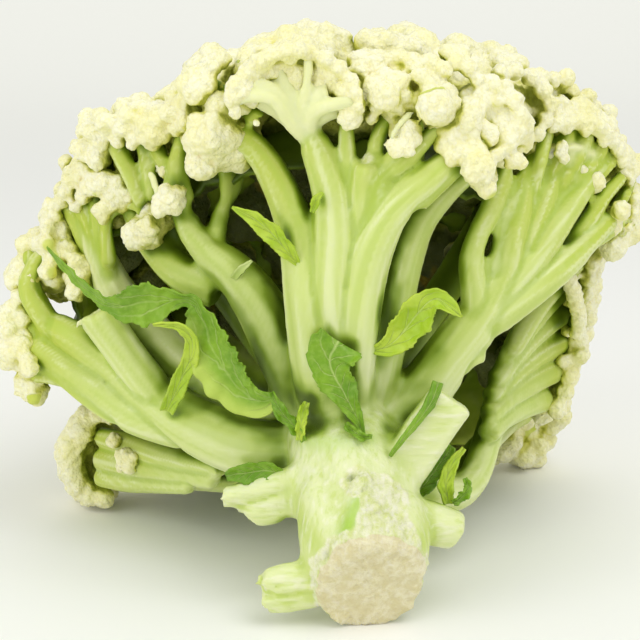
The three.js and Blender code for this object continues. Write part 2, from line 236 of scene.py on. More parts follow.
# %% Floor and backdrop
FLOOR_WIDTH, FLOOR_DEPTH, FLOOR_RISE = 8, 2.6, 1.2


def make_floor():
    """A sheet that runs flat under the head and curves up far behind it."""
    sheet = bmesh.new()
    near = [sheet.verts.new((x, -FLOOR_DEPTH, 0)) for x in (-FLOOR_WIDTH / 2, FLOOR_WIDTH / 2)]
    step = bmesh.ops.extrude_edge_only(sheet, edges=[sheet.edges.new(near)])["geom"]
    corners = [g for g in step if isinstance(g, bmesh.types.BMVert)]
    last = [g for g in step if isinstance(g, bmesh.types.BMEdge)]
    bmesh.ops.translate(sheet, vec=(0, 2 * FLOOR_DEPTH - FLOOR_RISE, 0), verts=corners)
    bmesh.ops.spin(sheet, geom=last, cent=(0, FLOOR_DEPTH - FLOOR_RISE, FLOOR_RISE), axis=(1, 0, 0),
                   angle=math.pi / 2, steps=16)
    mesh = mesh_of(sheet, "floor")
    smooth(mesh)
    made = new_object("floor", mesh)
    return made


floor = make_floor()
paper = Finish("pale paper")
behind = paper.node("ShaderNodeSeparateXYZ", None, {0: paper.place()}, 1)
seen = paper.node("ShaderNodeLightPath", None, {}, "Is Camera Ray")
glow = paper.mix(behind.ease(0.4, 2.2) * seen, paint(0, 0, 0), paint(106, 106, 98))
floor.data.materials.append(paper.wear(Base_Color=paint(249, 249, 245), Roughness=0.9, Specular_IOR_Level=0.1,
                                       Emission_Color=glow, Emission_Strength=1.0))

# %% World and lamps
WORLD_LEVEL = 0.75
LAMP_SIZE = 0.9
MIDDLE = (0, 0, 0.1)  # what the lamps point at
world = bpy.data.worlds.new("light tent")
world.use_nodes = True
bpy.context.scene.world = world
background = world.node_tree.nodes["Background"]
background.inputs["Color"].default_value = paint(250, 251, 249)
background.inputs["Strength"].default_value = WORLD_LEVEL


def make_lamp(name, place, power):
    lamp = new_object(name, bpy.data.lights.new(name, "AREA"))
    lamp.data.size = LAMP_SIZE
    lamp.data.energy = power
    lamp.location = place
    lamp.rotation_euler = (Vector(MIDDLE) - Vector(place)).to_track_quat("-Z", "Y").to_euler()


make_lamp("soft lamp", (0.5, -0.52, 1.2), 5.9)
make_lamp("fill lamp", (-0.8, -0.75, 0.6), 3.6)
print("two lamps over a world of", WORLD_LEVEL)

# %% [markdown]
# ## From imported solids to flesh
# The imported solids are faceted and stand 0.3 mm apart, but the real flesh is one smooth body. A copy of the
# solids is swollen until they overlap, then a voxel remesh turns the heap into one skin of even squares.
# Relaxing that skin rounds the facets and fills each fork, as living tissue does.

# %% Meshes as arrays
MERGE = 1e-5


def places(mesh):
    flat = np.empty(len(mesh.vertices) * 3)
    mesh.vertices.foreach_get("co", flat)
    return flat.reshape(-1, 3)


def put_places(mesh, points):
    mesh.vertices.foreach_set("co", points.ravel())
    mesh.update()


def normals(mesh):
    flat = np.empty(len(mesh.vertices) * 3)
    mesh.vertex_normals.foreach_get("vector", flat)
    return flat.reshape(-1, 3)


# %% Vectors and a relaxed skin
def length(vectors):
    return np.linalg.norm(vectors, axis=-1)


def unit(vectors):
    return vectors / length(vectors)[:, None]


def dots(first, second):
    """The scalar product of each row of one with the same row of the other."""
    return np.einsum("ij,ij->i", first, second)


def eased(values, low, high):
    """0 below low, 1 above high, eased between."""
    t = np.clip((values - low) / (high - low), 0, 1)
    return t * t * (3 - 2 * t)


def spread_ways(number, start=0.0):
    """Unit vectors spread evenly over a sphere, on a spiral that may start anywhere."""
    height = 1 - 2 * (np.arange(number) + 0.5) / number
    ring = np.sqrt(1 - height ** 2)
    angle = (np.arange(number) + start) * math.pi * (3 - math.sqrt(5))
    return np.stack([ring * np.cos(angle), ring * np.sin(angle), height], 1)


def tree_of(spots):
    """A tree that finds the nearest of these places."""
    tree = KDTree(len(spots))
    for i, spot in enumerate(spots):
        tree.insert(spot, i)
    tree.balance()
    return tree


class Skin:
    """Averages values over the neighbours of each vertex."""

    def __init__(self, mesh):
        ends = np.empty(len(mesh.edges) * 2, np.int32)
        mesh.edges.foreach_get("vertices", ends)
        self.first, self.second = ends.reshape(-1, 2).T
        self.size = len(mesh.vertices)
        self.count = np.maximum(np.bincount(ends, minlength=self.size), 1)

    def mean(self, values):
        if values.ndim > 1:
            return np.stack([self.mean(column) for column in values.T], 1)
        total = np.bincount(self.first, values[self.second], self.size)
        return (total + np.bincount(self.second, values[self.first], self.size)) / self.count

    def relax(self, values, rounds, share=0.5):
        """Moves values towards their neighbours' mean, by a share that may differ from place to place."""
        share = np.broadcast_to(share, self.size)
        share = share[:, None] if values.ndim > 1 else share
        for _ in range(rounds):
            values = values + share * (self.mean(values) - values)
        return values


def put_attribute(mesh, name, values):
    attribute = mesh.attributes.new(name, "FLOAT", "POINT")
    attribute.data.foreach_set("value", values.astype(np.float32))


# %% Copies, heaps and rods
def copy_of(node, swell):
    """A bmesh copy of a node, merged, with its skin pushed out."""
    copy = bmesh.new()
    copy.from_mesh(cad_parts[node].data)
    bmesh.ops.remove_doubles(copy, verts=copy.verts, dist=MERGE)
    copy.normal_update()
    for vertex in copy.verts:
        vertex.co += vertex.normal * swell
    return copy


def solid_mesh(node):
    """A plain, merged copy of a node's mesh."""
    return mesh_of(copy_of(node, 0))


def gather(parts):
    """One mesh with all these bmeshes or meshes in it."""
    heap = bmesh.new()
    for part in parts:
        mesh = mesh_of(part) if isinstance(part, bmesh.types.BMesh) else part
        heap.from_mesh(mesh)
        bpy.data.meshes.remove(mesh)
    return mesh_of(heap, "heap")


def applied(mesh, **modifiers):
    """The mesh with modifiers run on it, each given as KIND={settings}."""
    holder = new_object("holder", mesh)
    for kind, settings in modifiers.items():
        modifier = holder.modifiers.new(kind, kind)
        for key, value in settings.items():
            setattr(modifier, key, value)
    return baked(holder)


def skinned(mesh, voxel):
    """The outer skin of a heap of overlapping bodies, as even squares."""
    return applied(mesh, REMESH={"mode": "VOXEL", "voxel_size": voxel, "adaptivity": 0})


def tubes(paths, sides=2):
    """Round rods through rows of points, each row as [(place, radius), ...], as one mesh."""
    curve = bpy.data.curves.new("rods", "CURVE")
    curve.dimensions = "3D"
    curve.bevel_depth = 1
    curve.bevel_resolution = sides
    curve.use_fill_caps = True
    for path in paths:
        spline = curve.splines.new("POLY")
        spline.points.add(len(path) - 1)
        for point, (place, radius) in zip(spline.points, path):
            point.co = (*place, 1)
            point.radius = radius
    return baked(new_object("rods", curve))


# %% [markdown]
# ## Growing things side by side
# Florets crowd one another but never quite coincide. Many random places are drawn, and the farthest from
# those already taken is picked again and again until the gaps are as small as a floret.

# %% Scattering
def triangles(mesh):
    mesh.calc_loop_triangles()
    flat = np.empty(len(mesh.loop_triangles) * 3, np.int32)
    mesh.loop_triangles.foreach_get("vertices", flat)
    return places(mesh)[flat.reshape(-1, 3)]


def scattered(corners, keep, number, rng):
    """Even random places on the triangles, with their facing, where keep(places, facings) says so."""
    cross = np.cross(corners[:, 1] - corners[:, 0], corners[:, 2] - corners[:, 0])
    area = length(cross)
    pick = rng.choice(len(area), number, p=area / area.sum())
    first, second = rng.random((2, number, 1))
    over = first + second > 1
    first, second = np.where(over, 1 - first, first), np.where(over, 1 - second, second)
    corner = corners[pick]
    spots = corner[:, 0] + first * (corner[:, 1] - corner[:, 0]) + second * (corner[:, 2] - corner[:, 0])
    facing = cross[pick] / area[pick][:, None]
    kept = keep(spots, facing)
    return spots[kept], facing[kept]


def spaced(spots, spacing):
    """Indices of spots that lie at least a spacing apart, each the farthest from those before it."""
    chosen = [0]
    gap = length(spots - spots[0])
    while gap.max() > spacing:
        chosen.append(int(gap.argmax()))
        gap = np.minimum(gap, length(spots - spots[chosen[-1]]))
    return chosen


BATCH = 24  # balls to a bmesh, because adding to a large one is slow


def balls(spots, subdivisions):
    """Small balls at (place, radius), made in batches so that no bmesh grows large."""
    batches = []
    for low in range(0, len(spots), BATCH):
        heap = bmesh.new()
        for place, radius in spots[low:low + BATCH]:
            bmesh.ops.create_icosphere(heap, subdivisions=subdivisions, radius=radius,
                                       matrix=Matrix.Translation(Vector(place)))
        batches.append(heap)
    return batches


# %% A finished piece
pieces = []


def finished(name, mesh, material, slot, *nodes):
    """A piece of the vegetable: kept inside the solids' box, smooth shaded, riding on the root."""
    points = np.clip(places(mesh), np.array(cad_low), np.array(cad_high))
    put_places(mesh, points)
    mesh.name = name
    mesh.materials.clear()
    mesh.materials.append(material)
    smooth(mesh)
    piece = new_object(name, mesh)
    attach(piece, "root")
    if nodes:
        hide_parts(*nodes)
    mesh.calc_loop_triangles()
    print(f"{name}: {len(mesh.loop_triangles)} triangles")
    pieces.append(piece)


# %% [markdown]
# ## Finishes
# Stalk flesh is pale yellow-green: nearly white at the neck and greener towards the tips. Curd is cream on
# its outer
# knobs. Shade is painted into both: flesh is painted greener and darker in hollows and where little light
# falls, and curd yellow-green in its hollows and on its undersides. Both read attributes that the mesh code
# measures on the skin, so the colours stay on the piece wherever the camera goes.

# %% Stalk flesh
def flesh_finish():
    flesh = Finish("stalk flesh")
    place = flesh.place()
    measured = ("reach", "hollow", "shelter", "rib", "tint", "stump", "torn", "cut", "stub", "inner", "cream")
    reach, hollow, shelter, rib, tint, stump, torn, cut, stub, inner, cream = map(flesh.attribute, measured)
    cloud = flesh.noise(place, 45, 3)
    blotch = flesh.noise(place, 130, 2)
    crumb = flesh.noise(place, 330, 4, 0.7)
    upright = flesh.noise(flesh.stretched(place, (420, 420, 70)), 1, 3)
    level = flesh.noise(flesh.stretched(place, (90, 420, 420)), 1, 3)
    streak = upright + (level - upright) * stub
    mixed = reach + (cloud - 0.5) * 0.4 + (tint - 0.5) * 0.2
    # dim is how much shade is painted on: the shelter, a little more on inner flesh, less towards the tips
    # and on cream ribs
    dim = shelter + inner * 0.05 - (reach.ease(0.5, 0.9) * 0.2 + cream * 0.5) * (1 - inner)
    colour = flesh.coats(
        flesh.mix(mixed.ease(0.10, 0.5), paint(222, 229, 172), paint(207, 220, 134)),
        (mixed.ease(0.5, 1.0), (190, 203, 82)),  # greener towards the tips: the stalks' own colour, made a little darker there as painted shade
        (rib.ease(0.45, 0.95) * 0.45, (236, 240, 196)),  # pale ribs between greener furrows: partly the stalks' own streaks, partly a painted highlight on the ridges
        # the greener furrows are partly painted shade
        (rib.ease(0.5, 0.05) * 0.4, (180, 203, 72)),
        (blotch.ease(0.55, 0.8) * 0.2, (232, 235, 184)),
        (stump * streak.ease(0.5, 0.72) * 0.6, (240, 240, 212)),  # streaks of the stump and its stubs
        (stump * streak.ease(0.48, 0.3) * 0.45, (194, 213, 96)),
        # painted shade: darker green in hollows and in the grooves between stalks
        (hollow.ease(0.2, 1.0) * 0.45, (160, 188, 44)),
        (flesh.attribute("green") * 0.9, (160, 200, 52)),
        (cream * 0.8, (240, 241, 192)),
        (dim.ease(0.22, 0.6) * 0.45, (184, 205, 66)),  # three steps of less and less light
        (dim.ease(0.38, 0.76) * 0.85, (128, 158, 14)),
        (dim.ease(0.62, 0.94) * 0.9, (70, 90, 6)))
    pith = flesh.mix(crumb.ease(0.35, 0.7), paint(220, 210, 164), paint(238, 232, 202))
    pith = flesh.coats(pith, (blotch.ease(0.5, 0.75) * 0.5, (212, 200, 146)))
    ragged = (crumb * 0.6 + streak * 0.4).ease(0.38, 0.62)
    ragged = flesh.mix(ragged, paint(216, 222, 150), paint(241, 239, 214))
    colour = flesh.mix((torn + (crumb - 0.5) * 0.5).ease(0.25, 0.7) * 0.9, colour, ragged)
    colour = flesh.mix((cut + (crumb - 0.5) * 0.7).ease(0.35, 0.6), colour, pith)
    # painted shade: the pits of the stump are painted dark green
    colour = flesh.coats(colour, (flesh.attribute("pit") * 0.85, (92, 112, 20)))
    grain = flesh.noise(place, 700, 2) * 0.2 + flesh.noise(place, 240, 3) * 0.35
    height = grain + (cut + torn) * crumb * 4.0 + stump * streak * 2.5
    return flesh.wear(Base_Color=colour, Roughness=0.42, Specular_IOR_Level=0.35, Subsurface_Weight=0.25,
                      Subsurface_Radius=(1.0, 0.95, 0.25), Subsurface_Scale=0.004,
                      Normal=flesh.bump(height, 0.0003))


flesh = flesh_finish()


# %% Curd
def curd_finish():
    curd = Finish("curd crumb")
    place = curd.place()
    hollow, under, stem, shelter, inner = map(curd.attribute, ("hollow", "under", "stem", "shelter", "inner"))
    cloud = curd.noise(place, 60, 3)
    grains = curd.cells(place, 430)
    fine = curd.cells(place, 900)
    ageing = curd.noise(place, 33, 2).ease(0.56, 0.72)
    green = curd.mix(cloud.ease(0.3, 0.7), paint(196, 207, 72), paint(222, 228, 128))
    colour = curd.coats(
        curd.mix(cloud.ease(0.35, 0.7), paint(250, 247, 214), paint(247, 243, 190)),
        # painted shade: yellow-green in the hollows of the curd
        ((hollow + (cloud - 0.5) * 0.4).ease(0.4, 1.0) * 0.8, (230, 226, 108)),
        # partly the curd's own grain, partly painted shade: yellow at the edges of the granule cells, in the
        # crevices between them
        ((grains * 0.6 + fine * 0.4).ease(0.42, 0.75) * 0.28, (232, 224, 124)),
        # painted shade: the undersides that face into the head are painted yellower
        (under * 0.4, (234, 232, 124)))
    colour = curd.coats(
        curd.mix(stem.ease(0.3, 0.8), colour, green),
        # painted shade: sheltered curd, which light hardly reaches, is painted yellow and then olive
        (shelter.ease(0.45, 0.85) * 0.7, (212, 212, 56)),
        (shelter.ease(0.74, 1.0) * 0.8, (142, 152, 14)),
        # painted shade: dark olive on the undersides of the far heads, inside the dome
        (inner.ease(0.25, 0.6) * 0.85, (74, 88, 12)),
        (ageing * hollow.ease(0.1, 0.6) * 0.6, (210, 176, 58)))
    grit = (1 - grains) * 0.9 + (1 - fine) * 0.6
    height = (1 - stem.ease(0.3, 0.8)) * grit + curd.noise(place, 420, 3, 0.6) * 0.6
    return curd.wear(Base_Color=colour, Roughness=0.62, Specular_IOR_Level=0.3, Subsurface_Weight=0.2,
                     Subsurface_Radius=(1.0, 0.95, 0.45), Subsurface_Scale=0.003,
                     Normal=curd.bump(height, 0.0006))


curd = curd_finish()
print("finishes:", flesh.name, "and", curd.name)

# %% [markdown]
# ## Stalks and stump
# All stalks, the neck and the cut leaf bases are one body. The rows below are the courses of the stalks that
# the solids have, as places on the way and a thickness there, in millimetres from the crown. A smooth rod
# through each row is rounder than a copy of its faceted solid. Finer branchlets, which the solids leave to
# this lesson, are rows of the same kind.

# %% Courses of the stalks
STALKS = {
    "stalk_left_low": [
        [(-4, 0, -4, 22), (-33, 6, -4, 22), (-52, 14, 1, 22), (-69, 22, 9, 19), (-87, 30, 21, 15),
         (-102, 36, 30, 13), (-114, 42, 36, 11), (-120, 45, 48, 9)],
        [(-46, 14, -5, 12), (-60, 19, 1, 15), (-72, 21, 15, 15), (-82, 22, 29, 14), (-91.6, 22, 43.9, 15)],
        [(-60, 18, -1, 15), (-80, 24, 4, 15), (-93, 28, 12, 13), (-106, 34, 18, 12), (-118, 39, 26, 9)]],
    "stalk_left_middle": [
        [(-4, 4, -2, 14), (-39, 26, 5, 16), (-62, 35, 22, 16), (-83, 40, 43, 15), (-92, 40, 60, 13),
         (-95, 40, 74, 10)]],
    "stalk_left_high": [
        [(-4, 0, 1, 18), (-18, 3, 24, 20), (-31, 8, 50, 18.6), (-41, 11, 62, 16), (-49.5, 13, 69, 12.4),
         (-55.6, 14, 76, 9.8), (-59, 16, 84, 8.6), (-61.6, 17, 91.5, 8.2), (-62.6, 18, 99.3, 7.4)],
        [(-43, 12, 62, 11), (-46.4, 14, 69, 8.8), (-46.4, 15, 75.4, 7), (-45, 17, 81.3, 6.6),
         (-42.5, 19, 87.2, 7), (-39, 23, 96.8, 6.7), (-36.6, 26, 104.4, 5.6)],
        [(-46, 15, 54, 15), (-61, 21, 60, 14), (-73, 30, 72, 12), (-80, 35, 86, 9)]],
    "stalk_centre_left": [
        [(-3, -2, 2, 20), (-8, -8, 30, 22), (-12, -8, 54, 19), (-15, -6, 73, 16), (-20, -3, 88, 13),
         (-27, -1, 102, 11), (-34, 0, 110, 10), (-41, 0, 112, 9)]],
    "stalk_centre": [
        [(-1, -4, 2, 18), (-2, -10, 30, 18), (-5, -11, 56, 17), (-4, -10, 77, 16), (-5, -9, 93, 14),
         (-9, -8, 106, 12), (-14, -9, 117, 9)]],
    "stalk_centre_slim": [
        [(2, -4, 46, 9), (5, -11, 84, 9), (6, -12, 97, 9), (7, -12, 104, 10)]],
    "stalk_centre_right": [
        [(2, -4, 2, 14), (3, -12, 38, 16), (7, -13, 67, 15), (15, -14, 87, 13), (28, -14, 99, 12),
         (39, -12, 108, 9)]],
    "stalk_centre_back": [
        [(4, 0, 1, 12), (11, 0, 21, 15), (15, 1, 45, 17), (19, 2, 67, 17), (25, 5, 82, 15),
         (36, 9, 94, 13), (50, 14, 103, 9)],
        [(21, 5, 76, 11), (24, 12, 96, 9), (25, 20, 116, 7)]],
    "stalk_right": [
        [(4, 0, -2, 20), (22, 2, 12, 21), (36, 6, 29, 19), (48, 10, 44, 19), (56, 12, 58, 14),
         (60, 12, 74, 10), (63, 16, 84, 9), (66, 22, 95, 8), (70, 28, 103, 6)],
        [(44, 8, 30, 15), (47, 8, 46, 13), (46.5, 8, 56, 10.5), (45, 8, 66, 9), (47.5, 9, 75.5, 8),
         (52, 12, 84, 8), (55.5, 17, 92, 8), (58, 22, 101, 6)],
        [(53, 11, 50, 15), (68, 16, 66, 13), (79, 22, 79, 11), (90, 31, 91, 9)],
        [(50, 9, 43, 15), (72, 17, 57, 13), (87, 27, 67, 11), (100, 38, 76, 8)]],
    "stalk_right_low": [
        [(10, 2, -10, 14), (36, 10, -23, 14), (49, 24, -22, 12), (57, 40, -8, 11), (64, 58, 8, 11),
         (74, 76, 18, 10), (84, 93, 24, 9)]],
    "stalk_rest_right": [
        [(10, 6, -10, 12), (38, 28, -26, 12), (56, 62, -22, 11), (70, 94, -22, 10), (80, 114, -24, 9)]],
    "stalk_back_left": [
        [(-8, 6, -8, 14), (-30, 28, -22, 14), (-57, 50, -30, 12), (-72, 58, -33, 10)]],
}
VISIBLE_STALKS = sorted(STALKS)
HIDDEN_STALKS = [n for n in nodes if n.startswith("stalk_") and n not in STALKS]
print(len(VISIBLE_STALKS), "stalks in sight and", len(HIDDEN_STALKS), "hidden ones")

# %% Finer branchlets
BRANCHLETS = [
    # beside the centre stalk
    [(1, -8, 76, 8), (1, -9, 102, 7), (0, -9, 115, 5.5), (1, -9, 124, 5)],
    [(8, -11, 74, 7), (7, -11, 95, 7), (11, -9, 113, 6), (17, -9, 124, 5)],
    # the forks of the leaning middle stalk
    [(9, -12, 78, 10), (11, -13, 98, 8), (22, -14, 108, 7), (32, -13, 118, 5)],
    [(10, -13, 90, 8), (14, -14, 104, 6), (19, -15, 111, 5)],
    [(24, -13, 92, 11), (37, -13, 103, 8), (45, -13, 111, 6), (52, -10, 118, 5)],
    [(24, -13, 92, 10), (36, -14, 105, 7), (40, -14, 112, 6), (42, -12, 119, 5)],
    [(26, -13, 93, 10), (39, -12, 104, 7), (50, -11, 109, 6), (57, -8, 111, 5)],
    # the outer forks on the right
    [(55, 11, 62, 10), (60, 15, 82, 9), (68, 24, 97, 8), (75, 32, 109, 6)],
    [(58, 13, 72, 8), (66, 21, 88, 7), (74, 30, 99, 6), (84, 40, 110, 5)],
    [(66, 15, 70, 9), (74, 23, 88, 7), (79, 32, 101, 6), (90, 42, 112, 5)],
    [(79, 22, 79, 8), (90, 31, 91, 8), (98, 40, 101, 6), (96, 46, 109, 5)],
    [(79, 22, 79, 8), (87, 29, 91, 6), (85, 31, 98, 5), (79, 31, 101, 4)],
    [(88, 29, 89, 8), (99, 41, 97, 6), (106, 48, 96, 5)],
    [(82, 24, 64, 9), (98, 37, 75, 7), (107, 46, 85, 5), (110, 50, 92, 4)],
    [(88, 28, 67, 9), (103, 41, 73, 6), (110, 48, 76, 5)],
    # the high stalk on the left
    [(-57, 16, 86, 9), (-62, 17, 96, 8), (-67, 20, 104, 6), (-70, 24, 112, 5)],
    [(-57, 15, 86, 9), (-60, 15, 97, 8), (-59, 14, 106, 6), (-57, 14, 115, 5)],
    [(-43, 18, 85, 6), (-43, 18, 96, 5.5), (-45, 19, 105, 5), (-46, 17, 114, 5)],
    # side by side behind them
    [(-64, 28, 62, 7), (-78, 34, 88, 7), (-86, 38, 103, 6), (-91, 42, 112, 5)],
    [(-60, 26, 66, 7), (-71, 32, 93, 6), (-75, 34, 104, 5), (-77, 34, 113, 5)],
    [(-66, 32, 62, 7), (-84, 38, 90, 6), (-93, 42, 100, 5), (-96, 44, 108, 5)],
    # the broom of the middle stalk on the left
    [(-90, 38, 54, 9), (-95, 38, 72, 8), (-99, 39, 83, 6), (-102, 41, 90, 5)],
    [(-89, 37, 56, 9), (-91, 36, 74, 8), (-92, 36, 84, 6), (-91, 36, 92, 5)],
    [(-93, 40, 56, 9), (-100, 42, 72, 7), (-105, 46, 80, 6), (-107, 50, 86, 5)],
    [(-88, 33, 60, 7), (-88, 31, 76, 5), (-82, 28, 83, 4.5), (-76, 24, 83, 4), (-73, 23, 79, 4)],
    [(-90, 35, 64, 6), (-87, 32, 80, 5), (-83, 30, 87, 4), (-80, 30, 92, 4)],
    # the left edge
    [(-112, 40, 33, 11), (-120, 42, 47, 9), (-118, 44, 57, 7), (-112, 46, 64, 5)],
    [(-113, 41, 34, 9), (-121, 44, 43, 7), (-124, 48, 50, 5)],
    [(-118, 43, 46, 8), (-120, 46, 57, 6), (-121, 50, 62, 5)],
    [(-86, 25, 4, 11), (-105, 32, 15, 9), (-118, 39, 22, 7), (-124, 43, 26, 5)],
    [(-104, 34, 15, 8), (-119, 41, 28, 6), (-124, 46, 34, 5)],
    [(-103, 32, 14, 8), (-114, 37, 15, 6), (-121, 41, 12, 4)],
    # the rest on the left
    [(-62, 54, -32, 11), (-84, 66, -35, 9), (-97, 76, -31, 7), (-104, 81, -26, 5)],
    [(-64, 56, -33, 10), (-90, 71, -39, 8), (-100, 76, -42, 6), (-105, 80, -45, 5)],
    [(-66, 56, -32, 9), (-94, 74, -34, 7), (-103, 80, -36, 5)],
]
print(len(BRANCHLETS), "branchlets")

# %% Ribs and stems of cream flesh
# they carry some of the single lumps of curd further on
RIBS = [
    # the fan at the top of the middle stalk
    [(-13.8, -9, 112.7, 7), (-19.8, -14, 119.4, 5.2), (-23.7, -17, 125.5, 4.5), (-28.4, -18, 127.9, 4.5),
     (-33, -18, 127.9, 4.5), (-37.1, -17, 125.8, 4.2)],
    [(-13.1, -9, 113.3, 7), (-18.8, -13, 121.3, 4.9), (-22.4, -15, 127.9, 4.2), (-26.7, -16, 131.4, 3.8),
     (-31.7, -16, 133, 4.2)],
    [(-11.7, -9, 114.7, 7), (-16.8, -12, 123.9, 4.5), (-19.4, -13, 130.1, 3.8), (-21.8, -13, 134.7, 3.5),
     (-23.7, -13, 138.7, 3.8)],
    [(-11.7, -9, 114.7, 7), (-14.4, -14, 122.8, 4.5), (-13.7, -16, 130.4, 3.5), (-13, -16, 136.3, 3.5),
     (-13, -15, 140.9, 3.8)],
    [(-12.4, -9, 113.3, 7), (-11.7, -15, 120.9, 5.2), (-7, -18, 124.3, 4.8), (-2, -19, 125.7, 4.8),
     (2.3, -19, 126.7, 5.2)],
    [(-12.4, -9, 115.4, 6.3), (-12.7, -14, 124.1, 4.2), (-9, -16, 128.4, 3.5), (-6.3, -17, 130.1, 2.8)],
    [(-12.4, -9, 116.8, 5.6), (-11.7, -12, 128.6, 3.5), (-7, -14, 132.8, 3.1), (-1.6, -15, 134.9, 3.1)],
    [(-11.7, -6, 116.4, 4.9), (-11, -6, 126.6, 3.5), (-8.3, -8, 133.6, 2.8), (-6.3, -10, 138.5, 3.2)],
    # the bed of that fan
    [(-15.8, -7, 115.8, 7.8), (-21.9, -9, 122.2, 7.7), (-28.6, -10, 126.4, 7.7), (-33.4, -10, 128.4, 6.3)],
    [(-15.2, -7, 117.2, 7.8), (-20.9, -9, 127.3, 7.7), (-26.6, -10, 132.4, 7)],
    [(-14.5, -7, 118.6, 7.8), (-16.5, -9, 128.3, 7.7), (-18.5, -9, 134.4, 7)],
    [(-13.8, -7, 118.6, 7.8), (-9.7, -9, 127.3, 7.7), (-5.6, -10, 131.8, 6.3)],
    [(-13.8, -7, 116.5, 7.8), (-7.3, -11, 121.8, 7), (-0.2, -12, 123.9, 6.3)],
    # stems of single white florets, a tendril and a curl
    [(-63.1, 8, 82.9, 3.3), (-65.5, 5, 88.8, 3.2), (-67.5, 5, 95.3, 2.9), (-68.9, 6, 99.4, 2.9)],
    [(21.8, -17, 122.5, 3.1), (17.7, -20, 118.8, 2.8), (15, -21, 114.9, 2.4), (15.4, -21, 111.6, 2.4)],
    [(93.3, 32, 99.1, 3), (88.3, 29, 103.2, 3), (83.2, 25, 104.9, 2.6), (79.3, 23, 104.1, 2.2)],
    [(82.7, 26, 102.9, 1.9), (82.5, 26, 99.2, 1.7), (83.9, 27, 95.4, 1.7), (86.7, 28, 92.3, 1.7)],
    [(-93.2, 20, 42.2, 1.8), (-95.7, 17, 43.3, 1.8), (-97.8, 16, 42, 1.8), (-98.3, 16, 39, 1.8)],
]
print(len(RIBS), "cream ribs and stems")

# %% Stalks that show in the gaps between the heads
GAP_STALKS = [
    [(-28.9, -4, 119.6, 4.3), (-35.7, 2, 124.4, 3.9), (-41.7, 6, 127.4, 3.6), (-46.7, 8, 130.7, 3.3)],
    [(-29, 0, 120.5, 4.3), (-34.8, 6, 126.7, 4.3), (-36.9, 8, 133.5, 4), (-36.8, 8, 138.3, 3.3)],
    [(-31.4, -2, 117.3, 4.3), (-38.2, 3, 121.5, 3.2), (-43.9, 6, 122.6, 2.9), (-48.2, 8, 123, 2.9)],
    # two broad ones under the left shoulder's crest
    [(-84.8, 28, 108.5, 7.5), (-81.3, 25, 101.9, 7.1), (-77.3, 23, 93.8, 6.7), (-73.5, 22, 84.1, 5.9)],
    [(-74.6, 25, 109.6, 5.6), (-72.1, 24, 102.1, 6), (-70.7, 22, 94, 5.9), (-69.8, 22, 85.9, 5.6)],
    # the fan of the low right stalk
    [(55, 28, -4.6, 9.7), (63.2, 44, -2.8, 10.4), (74.5, 62, -3.8, 10.6), (82.6, 74, -5.6, 10.2)],
    [(55.7, 32, 0.9, 9.8), (64.4, 46, 4.7, 10.6), (77.2, 64, 6.4, 11.2), (86.4, 76, 6.2, 10.8)],
    [(57.3, 38, 5.9, 9.9), (66.2, 50, 12.9, 10.6), (79.1, 66, 17.5, 11.4), (88.5, 77, 18.1, 11.2)],
    [(59.5, 42, 11.2, 10), (68.2, 52, 21.3, 10.6), (80.8, 66, 29.1, 11.2), (89.3, 75, 31.3, 10.8)],
    [(62.5, 46, 16.5, 9.3), (70.7, 52, 29.4, 9.6), (81.8, 62, 39.5, 9.9), (90.4, 69, 44.1, 9.2)],
    [(66.2, 46, 23.7, 8.5), (74.1, 50, 37.1, 8.8), (83.9, 56, 47.7, 8.9), (91.8, 61, 54.9, 8.3)],
    # the fan of the low left stalk
    [(-45.9, 18, -16.4, 7.4), (-61.2, 34, -18.7, 9.1), (-76.4, 50, -20.1, 10.1), (-86.8, 60, -19.9, 9.5),
     (-99, 70, -20, 8)],
    [(-48.8, 20, -21.1, 7.4), (-63.4, 36, -24.3, 9.1), (-77.6, 52, -27.4, 10.9), (-87.1, 60, -28.7, 10.3),
     (-100, 70, -29.5, 8.5)],
    [(-59.1, 30, -27.1, 6.8), (-77, 52, -33.2, 9.4), (-87.4, 60, -35.6, 9.5), (-100, 70, -37.5, 8)],
    # side by side towards the right edge
    [(67.2, 20, 86.3, 4.4), (70.4, 20, 99, 5), (72.4, 24, 108, 6), (73.6, 27, 113, 6)],
    [(71.4, 24, 85.6, 4.4), (77, 26, 98.1, 5), (80.4, 29, 106.8, 6.4), (82.2, 32, 112, 6.4)],
    [(77.4, 26, 87.1, 4.4), (83.9, 28, 97.8, 5), (87.6, 31, 105.3, 6.4), (89.4, 34, 110, 6.4)],
    [(82.9, 28, 86.7, 4.4), (90.3, 31, 96.3, 5), (93.9, 34, 102, 6), (95.8, 37, 106, 6)],
    [(88.8, 30, 85.3, 4.2), (96.1, 34, 94.3, 4.8), (99.4, 38, 98, 5.4), (101, 40, 100, 5.4)],
    [(78, 22, 63, 6), (84.5, 28, 69.5, 7), (90, 31, 76, 7), (96.5, 35, 84.5, 6), (104.6, 41, 92, 5)],
    [(95.8, 36, 74, 4), (102.7, 40, 79.5, 4.6), (105.8, 42, 83.5, 4.6), (107, 43, 86, 4.6)],
]
print(len(GAP_STALKS), "more stalks in the gaps")

# %% The stump
CUT_PLACE = np.array(CROWN) + np.array([9, -43, -37]) * MM
CUT_FACING = np.array([0.14, -0.94, -0.31])
CUT_FACING = CUT_FACING / np.linalg.norm(CUT_FACING)
CUT_RADIUS = 19.5
